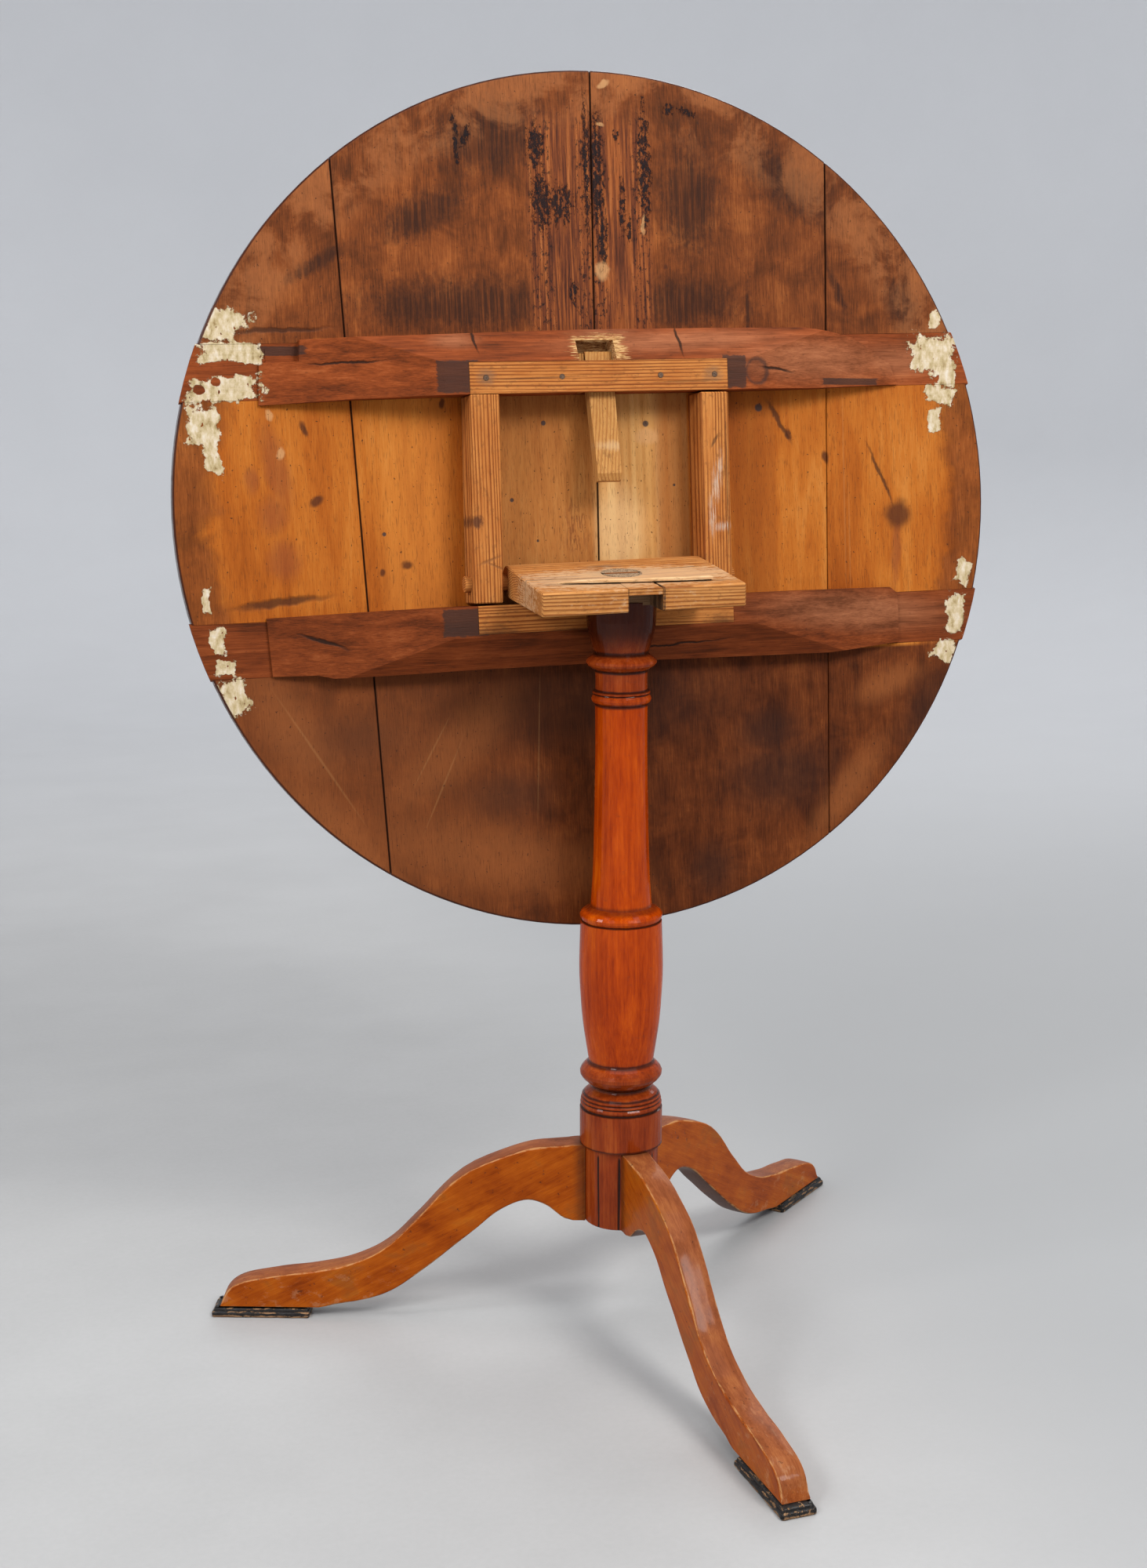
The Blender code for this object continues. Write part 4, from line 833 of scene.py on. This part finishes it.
def leg_wood(label, azimuth):
    """Leg: honey sides, duller worn top edge, light lines where edges are rubbed."""
    mat = Finish("leg_wood_" + label)
    turn = math.radians(azimuth)
    point = mat.place(mat.rest(), (AXIS_X, AXIS_Y, 0.0), (0.0, 0.0, turn))
    r, _, z = mat.split(point)
    seeded = mat.vector("ADD", point, (azimuth * 0.01, 0.0, azimuth * 0.003))
    across = mat.vector("DOT_PRODUCT", mat.facing(), (-math.sin(turn), math.cos(turn), 0.0))
    flank = mat.math("ABSOLUTE", across)
    up = mat.split(mat.facing())[2]
    tilted = mat.place(seeded, turn=(0.0, math.radians(28.0), 0.0))
    grain = mat.noise(tilted, (0.11, 0.006, 0.007), 5.0, 0.6, 0.8)
    fibre = mat.noise(tilted, (0.016, 0.0009, 0.0009), 3.0, 0.6)
    cloud = mat.noise(seeded, (0.05, 0.03, 0.035), 4.0, 0.6)
    blend = mat.add((grain, 0.32), (cloud, 0.46), (fibre, 0.22))
    flanks = mat.ramp(blend, (
        (0.36, (0.23, 0.045, 0.006)), (0.46, (0.37, 0.088, 0.012)), (0.55, (0.48, 0.135, 0.024)),
        (0.66, (0.6, 0.23, 0.06)),
    ), (0.86, 0.64, 0.14))
    ridge = mat.ramp(blend, (
        (0.36, (0.15, 0.04, 0.014)), (0.5, (0.26, 0.08, 0.032)), (0.64, (0.39, 0.15, 0.06)),
    ), (0.96, 0.84, 0.62))
    topside = mat.times(mat.rise(up, 0.15, 0.45), mat.rise(flank, 0.75, 0.45))
    colour = mat.mix(topside, flanks, ridge)
    # Painted shade: faces turned downwards are painted near black
    under = mat.rise(up, -0.35, -0.75)
    colour = mat.over(colour, under, 0.85, (0.045, 0.022, 0.014))
    shade = mat.rise(cloud, 0.56, 0.68)
    colour = mat.over(colour, shade, 0.45, (0.17, 0.042, 0.01))
    scrape = mat.noise(seeded, (0.016, 0.004, 0.012), 5.0, 0.75)
    edge = mat.times(mat.rise(flank, 0.28, 0.5), mat.rise(flank, 0.96, 0.82))
    edge = mat.times(edge, mat.rise(scrape, 0.4, 0.58), 0.6)
    colour = mat.mix(edge, colour, (0.62, 0.33, 0.13))
    toe = mat.times(mat.rise(z, 0.06, 0.03), mat.rise(scrape, 0.54, 0.66), 0.28)
    colour = mat.mix(toe, colour, (0.52, 0.29, 0.15))
    dents = mat.rise(mat.noise(seeded, (0.005, 0.0035, 0.005), 3.0, 0.6), 0.66, 0.72)
    colour = mat.over(colour, dents, 0.6, (0.055, 0.018, 0.008))
    # Darker over the last centimetre of the leg, where it meets the pillar
    darker_by_pillar = mat.rise(r, 0.046, 0.036)
    colour = mat.over(colour, darker_by_pillar, 0.55, (0.06, 0.018, 0.008))
    relief = mat.add((fibre, 0.12), (cloud, 0.35), (dents, -0.8))
    mat.bump(relief, 0.0006, 0.5)
    roughness = mat.add(0.3, (topside, 0.1), (scrape, 0.16), (edge, 0.2))
    return mat.finish(colour, roughness, coat=0.12, coat_rough=0.12, specular=0.05)


def pad_paint(label, azimuth):
    """Black paint rubbed through to bare wood along the pad's edges."""
    mat = Finish("pad_paint_" + label)
    turn = math.radians(azimuth)
    point = mat.place(mat.rest(), (AXIS_X, AXIS_Y, 0.0), (0.0, 0.0, turn))
    z = mat.split(point)[2]
    up = mat.split(mat.facing())[2]
    chips = mat.noise(point, (0.012, 0.005, 0.004), 6.0, 0.75)
    streak = mat.noise(point, (0.02, 0.001, 0.001), 3.0, 0.6)
    paint = mat.ramp(chips, ((0.35, (0.006, 0.006, 0.007)), (0.6, (0.022, 0.019, 0.017))))
    wood = mat.ramp(streak, ((0.35, (0.15, 0.075, 0.035)), (0.65, (0.38, 0.22, 0.11))))
    low_edge = mat.rise(z, 0.0034, 0.0016)
    corner = mat.times(mat.rise(up, 0.25, 0.6), mat.rise(up, 0.97, 0.85))
    rubbed = mat.add(chips, (low_edge, 0.17), (corner, 0.1))
    rubbed = mat.rise(rubbed, 0.6, 0.64)
    colour = mat.mix(rubbed, paint, wood)
    dust = mat.rise(mat.noise(point, (0.004, 0.004, 0.004), 4.0, 0.7), 0.55, 0.75)
    colour = mat.over(colour, dust, 0.18, (0.3, 0.26, 0.22))
    mat.bump(mat.add((rubbed, -0.8), (streak, 0.3)), 0.0007, 0.8)
    roughness = mat.add(0.34, (rubbed, 0.3), (dust, 0.15))
    return mat.finish(colour, roughness, specular=0.25)


# Block: its front edge and the slopes of its upper face, from the pillar's axis
BLOCK_FRONT = -0.064
BLOCK_FRONT_TOP = 0.6958
BLOCK_BACK_FALL = 0.1031
BLOCK_RISE = 0.015


def block_top(x, y):
    return BLOCK_FRONT_TOP + BLOCK_BACK_FALL * (y - BLOCK_FRONT) + BLOCK_RISE * x


def add_piece(name, mesh, material, body, replaced=None, smooth=None):
    piece = bpy.data.objects.new(name, mesh)
    bpy.context.scene.collection.objects.link(piece)
    piece.data.materials.append(material)
    if smooth is not None:
        piece.data.shade_smooth()
        piece.data.set_sharp_from_angle(angle=math.radians(smooth))
    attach(piece, body)
    if replaced:
        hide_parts(replaced)
    return piece


def skin(name, loops):
    """Closed surface through loops of equal length, capped at both ends."""
    work = bmesh.new()
    rows = [[work.verts.new(point) for point in loop] for loop in loops]
    count = len(loops[0])
    for first, last in zip(rows, rows[1:]):
        for index in range(count):
            after = (index + 1) % count
            work.faces.new((first[index], first[after], last[after], last[index]))
    caps = [work.faces.new(rows[0]), work.faces.new(list(reversed(rows[-1])))]
    work.normal_update()
    bmesh.ops.triangulate(work, faces=caps)
    bmesh.ops.recalc_face_normals(work, faces=work.faces)
    mesh = bpy.data.meshes.new(name)
    work.to_mesh(mesh)
    work.free()
    return mesh


# Flake lifting off the block's upper face: (place across, half width, lift)
FLAKE_START = Vector((-0.068, -0.03))
FLAKE_END = Vector((0.068, -0.045))
FLAKE = (
    (0.0, 0.0004, 0.0006), (0.05, 0.0026, 0.0022), (0.16, 0.0046, 0.0032), (0.34, 0.0056, 0.0035),
    (0.5, 0.005, 0.003), (0.66, 0.006, 0.0036), (0.84, 0.0054, 0.0034), (0.97, 0.005, 0.004),
    (1.0, 0.004, 0.0036),
)
# Its cross section, from front to back: (place, height)
FLAKE_SECTION = ((-1.0, 0.38), (-1.03, 0.95), (-0.8, 1.08), (0.2, 0.9), (1.0, 0.1), (0.9, -0.1))
FLAKE_CREASE = 35.0


def flake_mesh():
    run = FLAKE_END - FLAKE_START
    side = Vector((-run.y, run.x)).normalized()
    loops = []
    for share, half, lift in FLAKE:
        middle = FLAKE_START + run * share
        loop = []
        for back, up in FLAKE_SECTION:
            spot = middle + side * half * back
            z = block_top(spot.x, spot.y) + lift * up
            loop.append((AXIS_X + spot.x, AXIS_Y + spot.y, z))
        loops.append(loop)
    return skin("block_flake", loops)


flake_pine = pine("flake", along_x, BLOCK_PITH, 0.003, FLAKE_PINE, (), 0.3, lines=0.5)
add_piece("block_flake", flake_mesh(), flake_pine, "base", None, FLAKE_CREASE)

# Keeper, flush with the block and split off it by a jagged crack on its right
KEEPER_CRACK = (0.0, 0.0009, 0.0002, 0.0013, 0.0005, 0.0011, 0.0)
KEEPER_BACKSET = 0.0001


def keeper_mesh():
    left = keeper_low.x - AXIS_X
    right = keeper_high.x - AXIS_X
    back = keeper_high.y - AXIS_Y
    steps = len(KEEPER_CRACK) - 1
    loops = []
    for step, jag in enumerate(KEEPER_CRACK):
        y = BLOCK_FRONT + KEEPER_BACKSET + (back - BLOCK_FRONT - KEEPER_BACKSET) * step / steps
        edge = right - jag
        section = (
            (left, 0.0), (left, 1.0), (left + 0.0006, 1.0),
            (edge - 0.0008, 1.0), (edge, 0.9), (edge - jag, 0.0),
        )
        loop = []
        for x, up in section:
            top = block_top(x, y) - KEEPER_BACKSET
            z = keeper_low.z + (top - keeper_low.z) * up
            loop.append((AXIS_X + x, AXIS_Y + y, z))
        loops.append(loop)
    return skin("latch_keeper_worn", loops)


keeper_pine = pine("keeper", along_x, BLOCK_PITH, 0.0021, BLOCK_PINE, (block_lights,), 0.0, 0.005, 0.8)
add_piece("latch_keeper_worn", keeper_mesh(), keeper_pine, "base", "latch_keeper")

# Legs, shaped by hand, from the pillar's axis outwards: (reach, height)
LEG_REACH = 0.3865
LEG_HALF = 0.0125
LEG_HUB = 0.035
LEG_EDGE = 0.0021
LEG_SHARP_EDGE = 0.0007
LEG_SHARP_INSIDE = 0.045
LEG_SHARP_BELOW = 0.012
LEG_CROWN = 0.00035
LEG_CREASE = 50.0
CURVE_STEPS = 5
END_STEPS = 8
EDGE_STEPS = 4
QUARTER = math.pi / 2
LEG_LENGTHS = {"front": 0.382, "left": 0.3865, "back": 0.3928}
LEG_UPPER = (
    (0.035, 0.175), (0.062, 0.1728), (0.092, 0.168), (0.148, 0.143), (0.19, 0.1005), (0.216, 0.074),
    (0.245, 0.057), (0.28, 0.0475), (0.318, 0.0418), (0.354, 0.035), (0.371, 0.0255), (0.3785, 0.0096),
)
LEG_LOWER = (
    (0.285, 0.0096), (0.242, 0.018), (0.216, 0.0275), (0.185, 0.049), (0.14, 0.0865), (0.114, 0.1085),
    (0.09, 0.1193), (0.07, 0.115), (0.052, 0.1018), (0.035, 0.1004),
)


def curve_through(points, count):
    line = []
    last = len(points) - 1
    for index in range(last):
        before = Vector(points[max(index - 1, 0)])
        start = Vector(points[index])
        end = Vector(points[index + 1])
        after = Vector(points[min(index + 2, last)])
        for step in range(count):
            t = step / count
            line.append(0.5 * (2 * start + (end - before) * t
                               + (2 * before - 5 * start + 4 * end - after) * t * t
                               + (3 * start - before - 3 * end + after) * t * t * t))
    line.append(Vector(points[last]))
    return line


def inset(outline, depths):
    """The closed outline moved inwards, each point by its own depth."""
    count = len(outline)
    area = 0.0
    for index, point in enumerate(outline):
        after = outline[(index + 1) % count]
        area += point.x * after.y - after.x * point.y
    sign = 1.0 if area > 0 else -1.0
    moved = []
    for index, point in enumerate(outline):
        run = outline[(index + 1) % count] - outline[index - 1]
        run.normalize()
        moved.append(point + Vector((-run.y, run.x)) * sign * depths[index])
    return moved


def leg_place(azimuth):
    """From a leg's own space, X outwards, to its place round the pillar."""
    return Matrix.Translation((AXIS_X, AXIS_Y, 0.0)) @ Matrix.Rotation(math.radians(azimuth), 4, "Z")


def leg_mesh(label, azimuth):
    stretch = LEG_LENGTHS[label] / LEG_REACH
    outline = curve_through(LEG_UPPER, CURVE_STEPS)
    toe = curve_through((LEG_UPPER[-1], LEG_LOWER[0]), END_STEPS)
    outline += toe[1:-1] + curve_through(LEG_LOWER, CURVE_STEPS)
    inner = curve_through((LEG_LOWER[-1], LEG_UPPER[0]), END_STEPS)
    outline += inner[1:-1]
    outline = [Vector((point.x * stretch, point.y)) for point in outline]
    radii = []
    for point in outline:
        worn = LEG_EDGE + 0.0005 * math.sin(point.x * 61.0 + azimuth) + 0.0004 * math.sin(point.x * 173.0)
        if point.x < LEG_SHARP_INSIDE or point.y < LEG_SHARP_BELOW:
            worn = LEG_SHARP_EDGE
        radii.append(worn)
    layers = [(1.35, 0.0)]
    for step in range(EDGE_STEPS + 1):
        angle = QUARTER * step / EDGE_STEPS
        layers.append((1.0 - math.sin(angle), 1.0 - math.cos(angle)))
    turn = leg_place(azimuth)
    half_loops = []
    for inward, sideways in layers:
        flat = inset(outline, [radius * inward for radius in radii])
        half_loops.append([(point, LEG_HALF - radius * sideways) for point, radius in zip(flat, radii)])
    crown = inset(outline, [-LEG_CROWN if point.x > 0.06 and point.y > 0.02 else 0.0 for point in outline])
    half_loops.append([(point, LEG_HALF * 0.35) for point in crown])
    loops = []
    for side, rows in ((1.0, half_loops), (-1.0, list(reversed(half_loops)))):
        for row in rows:
            loop = []
            for point, half in row:
                across = side * half
                reach = point.x
                if reach < LEG_HUB + 0.0002:
                    reach = math.sqrt(LEG_HUB ** 2 - across ** 2)
                loop.append(turn @ Vector((reach, across, point.y)))
            loops.append(loop)
    return skin("leg_%s_shaped" % label, loops)


# Foot pads: how far in the edge lies at each height, from the pad's outline
PAD_HALF = 0.016
PAD_INNER = 0.293
PAD_CORNER = 0.003
PAD_CORNER_STEPS = 4
PAD_SPACING = 0.004
PAD_NICK = 0.0005
PAD_CREASE = 40.0
PAD_LAYERS = (
    (0.0, 0.001), (0.0008, 0.0002), (0.003, 0.0001), (0.0044, 0.0004), (0.0052, 0.0012),
    (0.0056, 0.0022), (0.0064, 0.0023), (0.0074, 0.0027), (0.0083, 0.0037), (0.0088, 0.005),
    (0.009, 0.0066),
)


def pad_mesh(label, azimuth):
    reach = LEG_LENGTHS[label]
    start = PAD_INNER * reach / LEG_REACH
    outline = []
    for x, y, first in (
        (reach - PAD_CORNER, -PAD_HALF + PAD_CORNER, -90.0),
        (reach - PAD_CORNER, PAD_HALF - PAD_CORNER, 0.0),
        (start + PAD_CORNER, PAD_HALF - PAD_CORNER, 90.0),
        (start + PAD_CORNER, -PAD_HALF + PAD_CORNER, 180.0),
    ):
        for step in range(PAD_CORNER_STEPS + 1):
            angle = math.radians(first + 90.0 * step / PAD_CORNER_STEPS)
            outline.append(Vector((x + PAD_CORNER * math.cos(angle), y + PAD_CORNER * math.sin(angle))))
    dense = []
    for index, point in enumerate(outline):
        after = outline[(index + 1) % len(outline)]
        pieces = max(1, round((after - point).length / PAD_SPACING))
        dense += [point.lerp(after, step / pieces) for step in range(pieces)]
    turn = leg_place(azimuth)
    loops = []
    for height, depth in PAD_LAYERS:
        wear_depths = []
        for point in dense:
            nick = math.sin(point.x * 410.0 + azimuth) * math.sin(point.x * 157.0 + point.y * 260.0)
            wear_depths.append(depth + PAD_NICK * max(0.0, nick))
        loops.append([turn @ Vector((point.x, point.y, height)) for point in inset(dense, wear_depths)])
    return skin("foot_pad_%s_moulded" % label, loops)


for label, azimuth in LEG_AZIMUTHS.items():
    add_piece(
        "leg_%s_shaped" % label, leg_mesh(label, azimuth), leg_wood(label, azimuth),
        "base", "leg_" + label, LEG_CREASE,
    )
    add_piece(
        "foot_pad_%s_moulded" % label, pad_mesh(label, azimuth), pad_paint(label, azimuth),
        "base", "foot_pad_" + label, PAD_CREASE,
    )


# Studio: a pale floor that sweeps up all round, soft lights and the camera
def sweep_mesh():
    profile = [(0.0, 0.0)]
    for ring in range(1, FLOOR_RINGS + 1):
        profile.append((FLOOR_REACH * ring / FLOOR_RINGS, 0.0))
    for step in range(1, SWEEP_STEPS + 1):
        angle = QUARTER * step / SWEEP_STEPS
        profile.append((
            FLOOR_REACH + SWEEP_RADIUS * math.sin(angle),
            SWEEP_RADIUS * (1.0 - math.cos(angle)),
        ))
    profile.append((FLOOR_REACH + SWEEP_RADIUS, SWEEP_HEIGHT))
    points = [(0.0, 0.0, 0.0)]
    for radius, height in profile[1:]:
        for side in range(SWEEP_SIDES):
            angle = 2.0 * math.pi * side / SWEEP_SIDES
            points.append((radius * math.cos(angle), radius * math.sin(angle), height))
    faces = []
    for side in range(SWEEP_SIDES):
        faces.append((0, 1 + side, 1 + (side + 1) % SWEEP_SIDES))
    for ring in range(len(profile) - 2):
        first = 1 + ring * SWEEP_SIDES
        for side in range(SWEEP_SIDES):
            after = (side + 1) % SWEEP_SIDES
            outer = first + SWEEP_SIDES
            faces.append((first + side, outer + side, outer + after, first + after))
    mesh = bpy.data.meshes.new("studio_sweep")
    mesh.from_pydata(points, [], faces)
    mesh.shade_smooth()
    return mesh


def floor_paint():
    mat = Finish("studio_floor")
    point = mat.rest()
    cloud = mat.noise(point, (0.3, 0.22, 0.3), 4.0, 0.6)
    speck = mat.noise(point, (0.006, 0.006, 0.006), 3.0, 0.6)
    blend = mat.add((cloud, 0.7), (speck, 0.3))
    # Painted light and shade: the floor is painted paler further out and up the sweep, and darker to the
    # right of the table
    near = mat.ramp(blend, ((0.35, (0.415, 0.414, 0.412)), (0.65, (0.455, 0.454, 0.452))))
    far = mat.ramp(blend, ((0.35, (0.75, 0.76, 0.785)), (0.65, (0.77, 0.78, 0.805))))
    flat = mat.vector("MULTIPLY", point, (1.0, 1.0, 0.0))
    away = mat.rise(mat.vector("LENGTH", flat), 0.6, FLOOR_REACH + SWEEP_RADIUS)
    x_side = mat.split(point)[0]
    near = mat.over(near, mat.rise(x_side, -0.05, 0.45), 0.9, (0.345, 0.35, 0.356))
    colour = mat.mix(away, near, far)
    mat.bump(speck, 0.0008, 0.1)
    return mat.finish(colour, 0.55, specular=0.3)


floor = bpy.data.objects.new("studio_floor", sweep_mesh())
bpy.context.scene.collection.objects.link(floor)
floor.location = (0.0, 0.0, -FLOOR_DROP)
floor.data.materials.append(floor_paint())


def soft_light(name, at, aim, size, watts, colour=(1.0, 1.0, 1.0)):
    lamp = bpy.data.lights.new(name, "AREA")
    lamp.shape = "RECTANGLE"
    lamp.size, lamp.size_y = size
    lamp.energy = watts
    lamp.color = colour
    holder = bpy.data.objects.new(name, lamp)
    bpy.context.scene.collection.objects.link(holder)
    holder.location = at
    holder.rotation_euler = (Vector(aim) - Vector(at)).to_track_quat("-Z", "Y").to_euler()


MIDDLE = (AXIS_X, AXIS_Y, 0.6)
# Lights: (name, place, aim, size, watts, colour)
LIGHTS = (
    ("key", (0.9, -1.9, 2.7), MIDDLE, (0.8, 0.9), 54.0, (1.0, 0.985, 0.96)),
    ("fill_left", (-2.1, -1.5, 2.1), MIDDLE, (0.6, 0.75), 29.0, (0.97, 0.985, 1.0)),
    ("catch_left", (-1.7, -0.1, 1.75), MIDDLE, (0.25, 0.4), 6.0),
    ("catch_right", (0.95, -1.15, 1.6), MIDDLE, (0.2, 0.35), 3.5),
    ("top", (0.0, 0.3, 3.6), (0.0, 0.1, 0.0), (3.0, 2.6), 46.0, (0.98, 0.99, 1.0)),
    ("rear", (1.8, 2.6, 2.6), (0.0, 0.3, 0.5), (1.8, 1.8), 34.0),
)
for light in LIGHTS:
    soft_light(*light)

world = bpy.data.worlds.new("studio_air")
bpy.context.scene.world = world
world.use_nodes = True
world.node_tree.nodes["Background"].inputs["Color"].default_value = AIR_COLOUR
world.node_tree.nodes["Background"].inputs["Strength"].default_value = AIR_STRENGTH

lens = bpy.data.cameras.new("camera")
camera = bpy.data.objects.new("camera", lens)
bpy.context.scene.collection.objects.link(camera)
aim = Vector(CAMERA_AIM).normalized()
right = aim.cross(Vector((0.0, 0.0, 1.0))).normalized()
above = right.cross(aim)
across = right * math.cos(CAMERA_ROLL) + above * math.sin(CAMERA_ROLL)
upward = above * math.cos(CAMERA_ROLL) - right * math.sin(CAMERA_ROLL)
camera.matrix_world = Matrix((
    (across.x, upward.x, -aim.x, CAMERA_AT[0]),
    (across.y, upward.y, -aim.y, CAMERA_AT[1]),
    (across.z, upward.z, -aim.z, CAMERA_AT[2]),
    (0.0, 0.0, 0.0, 1.0),
))
lens.sensor_fit = "VERTICAL"
lens.sensor_height = CAMERA_GATE
lens.lens = CAMERA_LENS
lens.clip_end = 50.0
bpy.context.scene.camera = camera
bpy.context.scene.view_settings.view_transform = "Standard"
bpy.context.scene.view_settings.look = "None"
